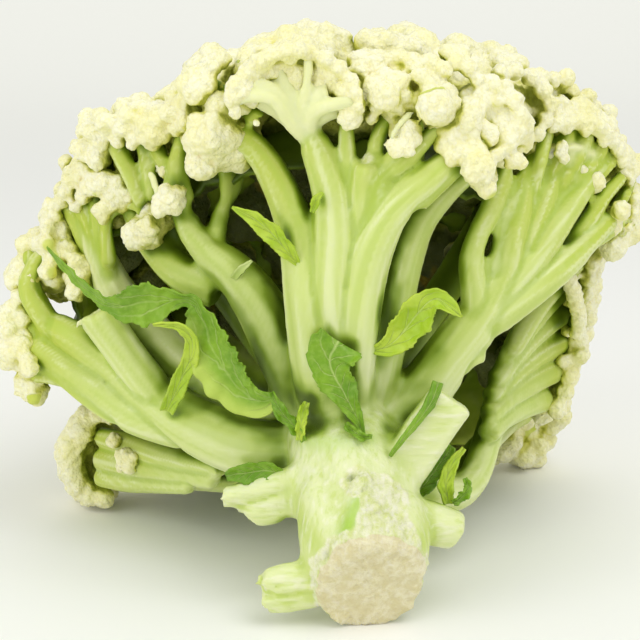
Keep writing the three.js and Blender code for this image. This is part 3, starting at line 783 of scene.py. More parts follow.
# rods that lead from the stump into each leaf stub, the scar round the crown and a curl above the cut
STUMP_RODS = [
    [(-4, -22, -5, 12), (-14, -18, -9, 10), (-23, -17, -11, 7)],
    [(-4, -28, -11, 12), (-14, -22, -15, 10), (-23, -19, -18, 7)],
    [(2, -34, -36, 15), (-8, -34, -39, 13), (-14, -35, -40, 10)],
    [(14, -24, -20, 17), (24, -24, -20, 15), (30, -23, -21, 13)],
    [(-6, -23, -10, 24), (-5, -32, -22, 24), (-4, -36, -34, 22)],
    [(17, -26, -12, 20), (18, -33, -24, 23), (17, -35, -34, 22)],
    [(-19, -16, 12, 4), (-14, -20, 9, 5), (-7, -23, 8, 5), (0, -25, 8.6, 5), (8, -24, 10, 4)],
    [(11, -45, -27, 3), (12, -45, -22, 3), (16, -44, -19.5, 3), (20, -43, -22, 3), (21.5, -43, -26, 3)],
]
GREEN_RIDGE = [(5.5, -37.4, -2.9, 3), (4.8, -40.6, -6.1, 3), (2.7, -43.5, -10.1, 3), (1.3, -45.3, -13.7, 3),
               (0, -47.4, -17.2, 3), (-1.4, -48.4, -21.1, 2)]
# where flesh was torn off between the ridge and the right stub, and the cut tops of two stalks
TORN = [(4.2, -36, -1.3), (7.6, -37.2, -3), (11.7, -35.8, -5), (16.6, -35.1, -7.4), (21.4, -35.6, -9.8),
        (25.6, -35, -13.3), (10.9, -39.4, -7.3), (14.7, -39.9, -10), (18.5, -39.4, -12.3),
        (22.6, -39.8, -15.1), (10.9, -42.7, -11.8), (15, -43.3, -14.5), (19.8, -42.1, -17.1),
        (24, -41.9, -20.1), (8.7, -46.8, -15.3), (12.8, -47.8, -18.5), (17.6, -47.2, -20.9),
        (22.5, -45.2, -23.9), (5.3, -49, -20.9), (1.3, -48.9, -23.8)]
CUT_TOPS = [(7, -12, 105.5), (-92.2, 22, 44.5)]
# small pits in the stump, dented in and painted dark green as their shade
PITS = [(-21, -21, -20), (1.8, -34, -1.3), (-7.5, -46.4, -24.1)]
COLLAR = 6  # which of the stump's rods is the scar
print(len(STUMP_RODS), "rods shape the stump")


# %% Smooth courses
centre = np.array(CROWN)


def course(stations, step=2.0):
    """A Catmull-Rom curve through the stations, as rows of x, y, z and radius in metres, a step apart."""
    rows = np.array(stations, float)
    rows = np.vstack([2 * rows[0] - rows[1], rows, 2 * rows[-1] - rows[-2]])
    out = []
    for a, b, c, d in zip(rows, rows[1:], rows[2:], rows[3:]):
        for t in np.arange(0, 1, step / max(step, np.linalg.norm(c[:3] - b[:3]))):
            out.append(0.5 * (2 * b + (c - a) * t + (2 * a - 5 * b + 4 * c - d) * t ** 2
                              + (3 * b - a - 3 * c + d) * t ** 3))
    out.append(rows[-2])
    out = np.array(out) * MM
    out[:, :3] += centre
    out[:, 3] /= 2
    return out


def first_rod(name):
    """The number of a stalk's first rod among all courses."""
    return sum(len(STALKS[n]) for n in VISIBLE_STALKS[:VISIBLE_STALKS.index(name)])


courses = [course(stations) for name in VISIBLE_STALKS for stations in STALKS[name]]
courses += [course(stations) for stations in BRANCHLETS]
first_branchlet = len(courses) - len(BRANCHLETS)
first_rib = len(courses)
broom = first_rod("stalk_left_middle")
courses += [course(stations) for stations in RIBS + GAP_STALKS]
stump_courses = [course(stations) for stations in STUMP_RODS]
print(len(courses), "rods,", sum(len(c) for c in courses), "places on them")


# %% Rods, and the nearest of them
def rods_of(courses):
    return tubes([[(row[:3], row[3]) for row in c] for c in courses], sides=4)


CHUNK = 4000  # points compared with all the rods at a time


def nearest_two(points, courses):
    """For each point: the skin distances to the nearest and the next rod, and which place is nearest."""
    spots = np.vstack(courses)
    ways = np.vstack([np.gradient(c[:, :3], axis=0) for c in courses])
    ways = unit(ways)
    owner = np.repeat(np.arange(len(courses)), [len(c) for c in courses])
    first = np.empty(len(points))
    second = np.empty(len(points))
    index = np.empty(len(points), int)
    starts = np.concatenate([[0], np.cumsum([len(c) for c in courses])[:-1]])
    for low in range(0, len(points), CHUNK):
        block = points[low:low + CHUNK]
        gap = np.sqrt(((block[:, None, :] - spots[None, :, :3]) ** 2).sum(2)) - spots[None, :, 3]
        order = np.sort(np.minimum.reduceat(gap, starts, axis=1), axis=1)
        first[low:low + CHUNK], second[low:low + CHUNK] = order[:, 0], order[:, 1]
        index[low:low + CHUNK] = gap.argmin(1)
    return first, second, owner[index], spots[index], ways[index]


# %% [markdown]
# ## Stubs of cut leaf stalks
# A cut leaf stalk is a flat, pleated tube with a ragged end. Each stub is a grid rolled up round its spine.
# The pleats fade towards the flat edges, and one noise tears the end.

# %% Frames along a spine
def spine_frames(stations, steps):
    """Places, sides and ups along a spine, with the station numbers read at each step."""
    rows = np.array(stations, float)
    full = course([(*row[:3], 1) for row in stations], 0.5)[:, :3]
    run = np.concatenate([[0], np.cumsum(length(np.diff(full, axis=0)))])
    marks = np.array([run[length(full - (row[:3] * MM + centre)).argmin()] for row in rows])
    at = np.linspace(0, run[-1], steps + 1)
    place = np.stack([np.interp(at, run, full[:, k]) for k in range(3)], 1)
    tangent = unit(np.gradient(place, axis=0))
    numbers = np.stack([np.interp(at, marks, rows[:, k]) for k in range(3, rows.shape[1])], 1)
    side = np.array([0, -1.0, 0])
    sides = []
    for t in tangent:
        side = side - side @ t * t
        side /= np.linalg.norm(side)
        sides.append(side)
    sides = np.array(sides)
    return place, tangent, sides, np.cross(tangent, sides), numbers


# %% One stub
CAP_ROWS = 5
CAP_SHAPE = (1, 0.93, 0.75, 0.5, 0.22, 0)  # how the rolled end closes, row by row


def stub_mesh(stations, pleats, pleat_depth, ragged, sunk, square, slant, seed, around=90, rows=48):
    """A flat, pleated tube with a ragged end, through rows of x, y, z, width and thickness."""
    place, tangent, side, up, numbers = spine_frames(stations, rows)
    roll = bmesh.new()
    bmesh.ops.create_grid(roll, x_segments=around, y_segments=rows, size=1)
    phase = np.random.default_rng(seed).uniform(0, 9, 3)
    for vertex in roll.verts:
        angle = (vertex.co.x + 1) * math.pi
        i = int(round((vertex.co.y + 1) / 2 * rows))
        j = min(i, rows - CAP_ROWS)
        shrink = CAP_SHAPE[max(0, i - rows + CAP_ROWS)]
        wide, deep = numbers[j] * MM / 2
        run = j / (rows - CAP_ROWS)
        c, d = math.cos(angle), math.sin(angle)
        pleat = 0.7 * math.cos(pleats * math.pi * c + phase[0] + (2 if d > 0 else 0))
        pleat += 0.9 * noise.noise(Vector((c * 3.5, d * 0.6, run * 1.2 + phase[1])))
        fold = pleat_depth * min(1, 1.5 * run) * pleat * (1 - c ** 4)
        across = math.copysign(abs(c) ** square, c) * (1 + 0.25 * fold)
        through = math.copysign(abs(d) ** square, d) * (1 + fold)
        tear = noise.noise(Vector((c * 2.2, d * 0.5, phase[2])))
        tear += 0.8 * noise.noise(Vector((c * 8, d, phase[2])))
        onward = ragged * run ** 4 * tear + slant * run ** 2 * across - sunk * (1 - shrink)
        spot = place[j] + (up[j] * wide * across + side[j] * deep * through) * shrink
        vertex.co = place[0] if i == 0 else spot + tangent[j] * MM * onward
    bmesh.ops.remove_doubles(roll, verts=roll.verts, dist=MERGE)
    bmesh.ops.recalc_face_normals(roll, faces=roll.faces)
    return roll


def along_stub(points, stations):
    """How near each point is to a stub, and how far along it, both from 0 to 1."""
    place, tangent, side, up, numbers = spine_frames(stations, 24)
    gaps = []
    for spot, across, through, (wide, deep) in zip(place, up, side, numbers * MM / 2):
        way = points - spot
        onward = length(way) ** 2 - (way @ across) ** 2 - (way @ through) ** 2
        flat = (way @ across / wide) ** 2 + (way @ through / deep) ** 2
        gaps.append(np.sqrt(flat + onward / (3 * MM) ** 2))
    gaps = np.array(gaps)
    return eased(gaps.min(0), 1.9, 1.3), gaps.argmin(0) / 24


# %% The four stubs
# stations, pleats, their depth, raggedness, how far the end is sunk, squareness, slant of the end and seed
STUBS = {
    "leaf_base_left": ([(-10, -19, -9, 17, 9), (-21, -20, -11.5, 18.5, 9), (-29, -21, -14.2, 19, 8),
                        (-36, -22, -16, 18, 6), (-42, -22, -17, 15, 4)], 7, 0.4, 7, 1.2, 0.8, 5.5, 1),
    "leaf_base_low": ([(-5, -32, -39, 14, 13), (-13, -36, -39.3, 17.5, 11), (-21, -38, -40, 18.5, 8),
                       (-30.5, -38, -42, 16, 6)], 7, 0.45, 6, 1.0, 0.8, 1.5, 2),
    "leaf_base_right": ([(20, -24, -18, 15.7, 14), (31.2, -24, -21.8, 15.7, 14), (36.9, -24, -23.6, 14.7, 13),
                         (41.2, -23, -25.5, 13, 12)], 1, 0.08, 0.8, -1.5, 1.0, 0, 3),
    "cut_leaf_stalk": ([(13, -16, -14, 19, 12), (22, -20, 1, 18, 10), (31.4, -22, 16, 17, 8),
                        (40, -22, 28, 16.5, 7)], 2, 0.06, 0.9, 0.4, 0.5, 0, 4),
}
print(len(STUBS), "stubs")

# %% [markdown]
# ## One body of flesh
# All rods, stubs and the core are now heaped and skinned. The same arrays that place the vertices also give
# what the finishes read: how far out a place is, whether it lies in a hollow, on a rib, on the cut or where
# flesh was torn off.


# %% Marks that the finishes read
def measure(mesh, skin, points, crease=0.0):
    """Writes what the finishes read: reach from the crown and hollows."""
    reach = length(points - centre) / (140 * MM)
    put_attribute(mesh, "reach", reach)
    broad = skin.relax(points, 12)
    hollow = dots(broad - points, normals(mesh)) / (0.8 * MM)
    put_attribute(mesh, "hollow", np.clip(skin.relax(hollow, 1) + crease, 0, 1))


def noise_at(vectors, grain, offset=0.0):
    return np.array([noise.noise(Vector(v) * grain + Vector((offset, 0, 0))) for v in vectors])


def near_course(points, stations, width):
    """1 on a course, falling away from it over a width."""
    spots = course(stations, 1.0)[:, :3]
    gap = np.min([length(points - spot) for spot in spots], axis=0)
    return np.exp(-(gap / width) ** 2)


def near_spots(points, spots, width):
    """1 at any of the spots, falling away from them over a width."""
    gap = np.min([length(points - (np.array(spot) * MM + centre)) for spot in spots], axis=0)
    return np.exp(-(gap / width) ** 2)


# %% Crumbs of torn flesh
def crumbs_on_stump(rng):
    """Small balls where flesh was torn off and round the rim of the cut."""
    def torn(spots, facing):
        band = near_spots(spots, TORN, 4 * MM) > 0.35
        rim = np.abs(length(spots - CUT_PLACE) - CUT_RADIUS * MM) < 1.6 * MM
        return band | rim
    core = solid_mesh("core")
    spots, facing = scattered(triangles(core), torn, 9000, rng)
    bpy.data.meshes.remove(core)
    chosen = spaced(spots, 1.9 * MM)
    return [(spots[i] + rng.uniform(-1.2, 0.8) * MM * facing[i], rng.uniform(0.9, 2.1) * MM) for i in chosen]


# %% Which part of the flesh a place is on
def stub_marks(points, skin):
    """How much each point is on a stub, and how much on a stub's torn end."""
    stub, end = np.zeros(skin.size), np.zeros(skin.size)
    for stations, *_ in STUBS.values():
        near, run = along_stub(points, stations)
        stub = np.maximum(stub, near * eased(run, 0.2, 0.5))
        end = np.maximum(end, near * eased(run, 0.93, 0.99))
    return skin.relax(stub, 3), skin.relax(end, 1)


def cut_mark(mesh, points, skin):
    """1 on the cut face of the stump."""
    on_cut = np.abs((points - CUT_PLACE) @ CUT_FACING) < 2.2 * MM
    on_cut &= length(points - CUT_PLACE) < 26 * MM
    on_cut &= normals(mesh) @ CUT_FACING > 0.3
    return skin.relax(on_cut.astype(float), 3)


def torn_mark(points, crumbs, cut, skin):
    """1 where crumbs of torn flesh stick out and on the cut tops of two stalks."""
    tree = tree_of([place for place, _ in crumbs])
    gap = np.array([tree.find(p)[2] for p in points])
    torn = np.maximum(eased(gap, 3.6 * MM, 2.2 * MM), near_spots(points, CUT_TOPS, 2.6 * MM))
    return skin.relax(torn, 3) * (1 - cut)


def ribs_on(points, spot, way, owner, stump):
    """Long ribs: a noise of the direction out from the rod, and on the stump out from the cut's axis."""
    away = points - spot[:, :3]
    away -= dots(away, way)[:, None] * way
    away = unit(away) + 3.0 * owner[:, None]
    around = points - CUT_PLACE
    around -= (around @ CUT_FACING)[:, None] * CUT_FACING
    rib = noise_at(away, 2.6) + 0.6 * noise_at(away, 6.0)
    return rib * (1 - stump) + stump * 1.6 * noise_at(unit(around), 3.2, 7.0)


# %% The fused stalks
def fuse_stalks(voxel=1.26 * MM):
    """The core, the rods and the stubs as one skin, with ribs, grooves, pits and torn places."""
    rng = np.random.default_rng(3)
    crumbs = crumbs_on_stump(rng)
    stubs = [stub_mesh(*row) for row in STUBS.values()]
    rods = [rods_of(courses), rods_of(stump_courses)]
    mesh = skinned(gather([copy_of("core", 0.4 * MM)] + rods + stubs + balls(crumbs, 1)), voxel)
    skin = Skin(mesh)
    points = places(mesh)
    stub, stub_end = stub_marks(points, skin)
    near, next_near, owner, spot, way = nearest_two(points, courses)
    cut = cut_mark(mesh, points, skin)
    torn = torn_mark(points, crumbs, cut, skin)
    stump = skin.relax(eased(near, 0.5 * MM, 2.5 * MM), 6)
    held = (1 - 0.75 * cut) * (1 - torn) * (1 - 0.93 * stub)
    points = skin.relax(points, 4, 0.5 * held)
    points = skin.relax(points, 18, 0.5 * stump * held)
    put_places(mesh, points)

    out = normals(mesh)
    pleats = dots(points - skin.relax(points, 8), out) / (0.3 * MM)
    ribbed = ribs_on(points, spot, way, owner, stump) * (1 - stub) + stub * pleats
    from_crown = (points - centre) / MM
    crumb = np.abs(noise_at(from_crown, 0.35)) + 0.6 * np.abs(noise_at(from_crown, 0.8))
    green = near_course(points, GREEN_RIDGE, 3.4 * MM) * (1 - cut)
    collar = 0.5 * near_course(points, STUMP_RODS[COLLAR], 3.4 * MM)
    groove = np.exp(-((next_near - near) / (1.3 * MM)) ** 2) * (1 - stump)
    groove = skin.relax(groove * eased(length(points - centre), 20 * MM, 45 * MM), 1)
    size = np.clip(spot[:, 3] / (8 * MM), 0.3, 1.2)
    lift = 0.25 * MM + 0.55 * MM * ribbed * np.where(stump > 0.5, 1.3, size) - 0.9 * MM * groove
    lift = lift * (1 - torn) * (1 - stub) + MM * (2.6 * green + 1.6 * torn * (crumb - 0.4))
    lift -= 1.8 * MM * near_spots(points, PITS, 1.4 * MM)
    points = points + out * (lift * (1 - cut) + 0.9 * MM * (crumb - 0.35) * cut)[:, None]
    points = skin.relax(points, 1, 0.5 * (1 - cut) * (1 - torn))
    put_places(mesh, points)

    ribs = (owner >= first_rib) & (owner < first_rib + len(RIBS))
    tint = rng.random(len(courses))[owner] * (1 - stump) + 0.5 * stump
    marks = {"green": np.clip(green + collar, 0, 1), "cut": cut, "torn": np.maximum(torn, 0.4 * stub_end),
             "rib": np.clip(ribbed * 0.8 + 0.5, 0, 1), "cream": skin.relax(ribs + 0.5 * (owner == broom), 4),
             "stump": stump * (1 - cut) * (1 - torn), "stub": stub, "inner": np.zeros(skin.size),
             "pit": near_spots(points, PITS, 1.3 * MM), "tint": skin.relax(tint, 6)}
    for name, values in marks.items():
        put_attribute(mesh, name, values)
    # the grooves go into the hollow mark, which the finish paints darker as shade
    measure(mesh, skin, points, 0.9 * groove)
    return mesh


finished("stalks", fuse_stalks(), flesh, "stalk", "core", *STUBS, *VISIBLE_STALKS)


# %% The hidden stalks
# what the finish reads on flesh that has no marks of its own; an inner of 1 paints it a little darker, as
# shade
PLAIN_LEVELS = (("cut", 0), ("torn", 0), ("green", 0), ("cream", 0), ("stump", 0), ("pit", 0), ("rib", 0.5),
                ("tint", 0.5), ("stub", 0), ("inner", 1))


def fuse_hidden(voxel=2.2 * MM, swell=0.5 * MM):
    """The stalks under the far heads, which only show dimly, in the gaps."""
    mesh = skinned(gather([copy_of(n, swell) for n in HIDDEN_STALKS]), voxel)
    skin = Skin(mesh)
    put_places(mesh, skin.relax(places(mesh), 8))
    for name, level in PLAIN_LEVELS:
        put_attribute(mesh, name, np.full(skin.size, float(level)))
    measure(mesh, skin, places(mesh))
    return mesh


finished("stalks_inner", fuse_hidden(), flesh, "stalk", *HIDDEN_STALKS)

# %% [markdown]
# ## Curd
# A head of curd is built as it grows. Florets sit side by side all over it, knobs crowd on each floret, and
# a branchlet carries each floret from the nearest fork of a stalk. Balls and rods are heaped up, skinned by
# a voxel remesh and relaxed a little, and two fine Voronoi patterns then raise the granules.

# %% Where the forks end
BARE_SHARE = 0.82  # of a branchlet's length, over which no floret may sit
FORK_REACH = 18 * MM
BALD = ("stalk_centre", "stalk_centre_slim", "stalk_back_left")  # their first rods end without florets
ends = np.array([c[-1, :3] for c in courses])
ways = np.array([c[max(-8, -len(c)), :3] for c in courses])
FORKS = np.stack([ways, ends], 1)
heads = [n for n in nodes if n.startswith("curd_")]
spans = {n: np.array([v.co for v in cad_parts[n].data.vertices]) for n in heads}
bare = np.vstack([c[:int(len(c) * BARE_SHARE)] for c in courses[first_branchlet:]])
bald = [first_rod(name) for name in BALD]
nearest_head = []
for number, end in enumerate(ends):
    gaps = [length(spans[n] - end).min() for n in heads]
    carries = min(gaps) < FORK_REACH and number < first_rib and number not in bald
    nearest_head.append(heads[int(np.argmin(gaps))] if carries else None)
print(len(FORKS), "forks,", sum(h is not None for h in nearest_head), "of them under curd")


def rod_gap(spot):
    """How far a place is from the nearest branchlet's bare length."""
    return (length(bare[:, :3] - spot) - bare[:, 3]).min()


# %% Florets, knobs and branchlets
def knobs_on(middle, facing, radius, knob, rng, low=-0.35):
    """Knobs all over the outward part of a floret, as (place, radius)."""
    number = max(8, int(9 * (radius / (knob * 1.3)) ** 2))
    ways = spread_ways(number, rng.random())
    ways += rng.normal(0, 0.12, ways.shape)
    ways = unit(ways)
    ways = ways[ways @ facing > low]
    sizes = knob * rng.uniform(0.7, 1.25, len(ways))
    reach = radius - sizes * rng.uniform(0.5, 0.95, len(ways))
    return [(middle + way * far, size) for way, far, size in zip(ways, reach, sizes)]


def branchlet(floret, facing, rng):
    """A rod from the nearest fork to the floret: it leaves along the fork and arrives from below."""
    way, end = FORKS[length(FORKS[:, 1] - floret).argmin()]
    along = end - way
    along /= np.linalg.norm(along)
    start = end - along * 6 * MM + rng.normal(0, 0.5, 3) * MM
    span = np.linalg.norm(floret - start)
    first = start + along * 0.45 * span
    second = floret - facing * 0.3 * span
    path = []
    for t in np.linspace(0, 1, 9):
        s = 1 - t
        place = s ** 3 * start + 3 * s * s * t * first + 3 * s * t * t * second + t ** 3 * floret
        path.append((place, (1.5 - 0.4 * t + 1.3 * t * t) * MM))
    return path


# %% [markdown]
# ## Single lumps and openings
# The spacing above is even, but some lumps of curd have a place of their own: along a rim, beside a gap, or
# on a cream stem. They stand in a table, head by head. Openings are places where a stalk shows, and no
# floret may stand between the camera and one of them.

# %% Lumps
# single lumps of curd by head: place and radius in millimetres from the crown
LUMPS = {
    "curd_back_left": [
        (-88.2, 51, -21.5, 2.6), (-85.5, 50, -20.8, 2.6), (-83.5, 49, -23.4, 2.5), (-87.2, 51, -24.8, 2.8),
        (-84.6, 49, -26.6, 2.4), (-88.9, 52, -27.4, 2.1), (-91.4, 56, -17.2, 3.2), (-82.2, 48, -21.2, 1.8),
        (-106.1, 70, -16.5, 6.4), (-109.9, 72, -22.3, 6.4), (-112.1, 74, -29.5, 6.5),
        (-111.5, 74, -36, 6.1), (-109.3, 74, -42.1, 5.7), (-104.5, 74, -46.5, 5.3), (-98.4, 72, -47.5, 4.4),
        (-103.5, 70, -11.4, 5.2), (-98.3, 68, -9.1, 4.8), (-93.2, 66, -10.1, 4), (-114.3, 78, -27.8, 4.9)],
    "curd_back_right": [
        (86.5, 44, 51, 3.2), (88, 46.5, 47.6, 3.4), (89.4, 49, 44.2, 3.2), (90.4, 51, 40.8, 3.4),
        (91.6, 54, 37.4, 3.2), (92.6, 56, 34, 3.4), (93, 58, 30.4, 3.2), (93, 60, 26.6, 3.4),
        (87.4, 70, -8.5, 4.2), (91, 72, -1.5, 4), (92.4, 73, 5, 4.4), (93.8, 73, 12, 4.2),
        (95.2, 74, 19.5, 4.6), (95.6, 73, 26.5, 4.2), (96.2, 72, 33.5, 4.4), (96.6, 68, 41, 4.2),
        (97.4, 64, 48.5, 4.4), (97.6, 60, 56, 4.2), (88.6, 70, 11.9, 2.8), (90.4, 70, 24.6, 2.8),
        (90.2, 66, 37.6, 2.8), (90.8, 60, 49.8, 2.6), (96.6, 70, 14.5, 3.4), (98.4, 69, 29.8, 3.4),
        (97.5, 66, 58.4, 5.2), (99.3, 70, 51.1, 4.8), (99.4, 74, 42.8, 5.3), (99.6, 78, 35.3, 5.3),
        (98.6, 80, 28.1, 5.7), (97.5, 82, 20.9, 5.7), (96.5, 84, 13.5, 5.3), (94.2, 84, 7.6, 5.3),
        (92.8, 84, 1.5, 5.3), (90.5, 84, -4.5, 5.3), (87.4, 84, -9.7, 5.3), (83.4, 84, -14, 5.3),
        (99.8, 62, 63.2, 4.8), (101.2, 58, 68.7, 4.7), (100.8, 66, 56, 4), (91.4, 88, -11.8, 5),
        (94.2, 80, 15.5, 4.1), (96, 76, 36.6, 4.1)],
    "curd_left_shoulder": [
        (-82.9, 26, 88.9, 3.4), (-79.2, 25, 86.9, 3.1), (-75.4, 24, 89.3, 3), (-86.7, 27, 90.2, 3.1),
        (-90.4, 28, 91.6, 3.1), (-89.8, 26, 81.5, 3.1), (-88.4, 26, 78.5, 2.6), (-93, 30, 90.1, 4.5),
        (-87.7, 27, 92.1, 4.5), (-85.2, 26, 87.1, 3), (-96.5, 33, 85.5, 3.4), (-91.1, 30, 80.4, 2.6),
        (-89.1, 28, 77, 1.9), (-97.7, 33, 93.4, 3.4), (-101.9, 36, 91, 3.4), (-103.9, 38, 86.2, 3.4),
        (-100, 36, 81.2, 2.7), (-95.9, 32, 96.9, 3), (-91.7, 30, 94.9, 3), (-82.9, 26, 91.1, 3),
        (-81.5, 25, 85.4, 2.2), (-85.3, 26, 82.3, 1.9)],
    "curd_left_top": [
        (-94.9, 29, 103.2, 4.5), (-90.2, 26, 100, 4.1), (-88.8, 25, 107, 4.1), (-84.6, 22, 111.4, 3.7),
        (-80.5, 27, 88.4, 3), (-75.7, 27, 91, 3), (-74.6, 26, 85.6, 2.6), (-72, 24, 93.7, 1.9),
        (-61.7, 5, 88.8, 4.3), (-65.6, 5, 85.6, 3.2), (-59.2, 6, 91.5, 2.9), (-75, 16, 109.7, 2.9),
        (-76.5, 16, 106.5, 1.8), (-51.7, 0, 127, 4.6), (-47.9, 0, 130.1, 3.6), (-45.9, 2, 135.4, 2.9),
        (-42.9, 4, 137.9, 3.2), (-80.3, 16, 112.9, 3.3), (-70.5, 12, 114.8, 3.6), (-66, 10, 117.2, 3.6),
        (-61.6, 8, 119.5, 3.6), (-57.2, 6, 122.6, 3.6), (-69.5, 14, 108.9, 2.6), (-65, 12, 111.3, 2.6),
        (-59.6, 8, 113.9, 2.9), (-91.4, 24, 110.4, 3.3), (-86.4, 20, 114.6, 3.7), (-77.3, 16, 117.2, 3.7),
        (-81.6, 20, 107.4, 2.6), (-55.5, 4, 129.7, 3.6), (-51.9, 4, 133.1, 3.2), (-98.3, 30, 103.8, 3),
        (-55.7, 4, 117.2, 3.2), (-63.4, 5, 91.7, 3.2), (-60.7, 5, 86, 3.2), (-58.6, 6, 87.9, 2.5),
        (-66.3, 5, 88.8, 2.5)],
    "curd_left_arm": [(-70.9, 13, 75.8, 3.2), (-70, 12, 79.6, 2.6), (-72.6, 12, 78.2, 2.2),
                      (-71.7, 13, 72.9, 2.4), (-68.9, 13, 72.9, 2.1), (-69.2, 10, 77.1, 2.6)],
    "curd_left_edge": [
        (-100.4, 38, 59.5, 4.2), (-99.4, 38, 55.6, 3.8), (-99.9, 38, 51.7, 3.8), (-101.9, 38, 47.8, 3.8),
        (-97.4, 38, 57.9, 3), (-103.2, 40, 53.6, 3.4), (-109, 42, 76.7, 2.7), (-112.6, 42, 71.8, 2.7),
        (-115.9, 42, 66, 2.7), (-110.6, 46, 52.3, 5.4), (-107.7, 46, 57.8, 3.1), (-111.1, 44, 80.2, 3.1),
        (-106.1, 42, 82.5, 3.1)],
    "curd_left_low": [
        (-127.3, 44, 39.4, 3.8), (-128.4, 40, 32.5, 3.8), (-127.3, 40, 24.5, 3.4), (-120.6, 34, 22.2, 3.4),
        (-124, 44, 44.9, 3.5)],
    "curd_bell": [
        (-18.1, -12, 132.6, 2.8), (-16.4, -12, 135.3, 3.1), (-14.4, -12, 132.6, 2.4),
        (-8.3, -12, 135.3, 3.1), (-8.7, -13, 132.1, 2.8), (-5.6, -13, 132.7, 2.8), (-4.3, -13, 130.1, 2.8),
        (-15.7, -12, 130, 2.1), (-13, -12, 135.3, 2.4), (-10.3, -13, 129.4, 2.1), (-17.2, -6, 134.8, 3.5),
        (-13.8, -6, 136.8, 3.5), (-10.4, -6, 137.5, 3.5), (-7, -7, 136.2, 3.5), (-4.3, -8, 132.9, 3.2),
        (-15.8, -7, 130.8, 3.2), (-7, -8, 130.9, 2.8), (-24, -8, 129, 3.2), (-20, -7, 133, 3.2),
        (-27.5, -9, 131, 3), (-9, -8, 127, 2.8), (-3.4, -9, 127.6, 2.8), (-38.4, -18, 127.3, 3.1),
        (-37, -18, 131.9, 3.1), (-37.5, -17, 122.5, 2.4), (-33.7, -17, 135.1, 2.8), (-30.5, -16, 119, 1.7),
        (-29.6, -18, 139.2, 3.1), (-25.6, -18, 141.1, 2.8), (-20.6, -18, 142.5, 3.1),
        (-15.6, -18, 143.1, 2.8), (1.7, -18, 132.6, 3.1), (3, -19, 128.7, 2.8), (3.7, -19, 124.4, 2.8),
        (1.4, -18, 120.9, 2.4), (-2.4, -18, 137.2, 2.8), (-7, -18, 140.5, 3.1), (-34.7, -17, 129.1, 3.5),
        (-33.7, -16, 131.7, 3.1), (-31.1, -15, 135.6, 3.1), (-27, -15, 138.2, 2.8), (-31.9, -13, 126, 2.8),
        (-28.5, -12, 133.3, 3.1), (-25.1, -12, 135.3, 3.1), (-19, -15, 140.9, 3.1),
        (-12.7, -15, 142.2, 3.1), (-8.3, -14, 138.8, 2.8), (-4.3, -15, 134.3, 2.8), (-1, -17, 129.1, 3.1),
        (-0.3, -17, 125.1, 3.1), (-3, -14, 131.5, 2.8), (-22.4, -12, 137.3, 2.8), (-9.7, -12, 135.3, 2.8)],
    "curd_centre": [
        (47.8, -14, 115, 3.1), (46.4, -14, 117.1, 2.8), (48.9, -14, 113, 2.8), (47.3, -13, 112.2, 2.4),
        (49.5, -14, 116, 2.4), (12.7, -19, 128.4, 5.5), (8.4, -17, 131.8, 3.1), (17.7, -17, 133.1, 3.1),
        (17.2, -16, 123.7, 2.8), (16.4, -21, 110.2, 2.7), (20.1, -21, 110.2, 2.7), (14.4, -21, 112.6, 1.7),
        (29.2, -21, 124.9, 6.5), (24.3, -18, 134.9, 2.8), (27, -18, 131.9, 2.8), (10.5, -16, 125, 3.5),
        (15.1, -16, 125, 3.1), (13.8, -15, 133.6, 3.1), (4.5, -12, 135.3, 3.1), (3.2, -8, 139, 3.2),
        (12.7, -6, 138.1, 3.2), (17.5, -6, 139.5, 3.5), (19.5, -16, 128, 3.1), (22.1, -8, 139, 3.2),
        (28.1, -10, 138.5, 3.2), (32.7, -12, 136, 3.1), (8.5, -14, 120.1, 2.4)],
    "curd_fan": [
        (57.5, -12.5, 106.2, 3), (59.4, -12, 104.4, 2.4), (55.6, -12, 104, 2.2), (50.4, -10, 123.7, 3.2),
        (53.7, -11, 119.7, 3.1), (54.2, -11, 114.3, 3.1), (49.8, -10, 117.6, 2.8), (48.3, -10, 111.4, 2.8),
        (52, -11, 110.2, 2.8), (46.8, -9, 121.5, 2.8), (44.8, -9, 118.1, 2.5), (53.2, -13, 130.1, 3.1),
        (56.6, -14, 126.1, 3.1), (58.8, -14, 121.1, 3.1), (58.2, -14, 116, 3.1), (55.3, -14, 111.6, 3.1),
        (51.4, -14, 108.2, 2.8), (35.5, -17, 107, 3.1), (39.9, -17, 109.3, 3.8), (44.4, -16, 109.5, 3.5),
        (47.4, -14, 105.8, 2.8), (42.2, -16, 113.6, 2.8), (36.5, -10, 138.5, 3.2), (40.9, -10, 136.5, 3.2),
        (44.4, -10, 132.4, 2.8), (45.7, -11, 128.2, 2.1), (52.4, -4, 134.6, 2.8), (49.1, -10, 131.8, 2.8),
        (50.9, -14, 126.1, 1.7), (33.2, -16, 109.5, 2.4), (37, -14, 112, 2.8), (41.9, -12, 116.5, 2.1),
        (31.7, -13, 112.5, 2.4), (34.4, -6, 141.5, 3.2), (39.1, -6, 140.8, 3.2)],
    "curd_right_top": [
        (54, 10, 131.2, 3.6), (59.7, 14, 133.3, 3.3), (65.5, 18, 130.8, 3.3), (70.6, 20, 126, 3.3),
        (73.6, 20, 121, 3), (72, 20, 115.6, 3), (69, 18, 110.5, 2.9), (64.9, 16, 107.9, 2.6),
        (78.6, 34, 126.3, 3.4), (83.4, 36, 123.6, 3), (87.2, 38, 120.1, 2.7), (78.4, 22, 105.6, 2.2),
        (79.3, 22, 101.3, 2.2), (76.9, 21, 103.6, 1.5), (90, 40, 121.7, 3.1), (92.7, 42, 117.8, 2.7),
        (96.9, 44, 115.3, 2.7), (69.9, 24, 130.6, 3.3), (74.8, 28, 128.7, 3.4), (80.4, 32, 129.1, 3.4)],
    "curd_right_edge": [
        (74.9, 22, 113.6, 3.3), (78.4, 24, 114.1, 3.3), (81.9, 26, 114.2, 3.4), (85.5, 28, 113.9, 3.4),
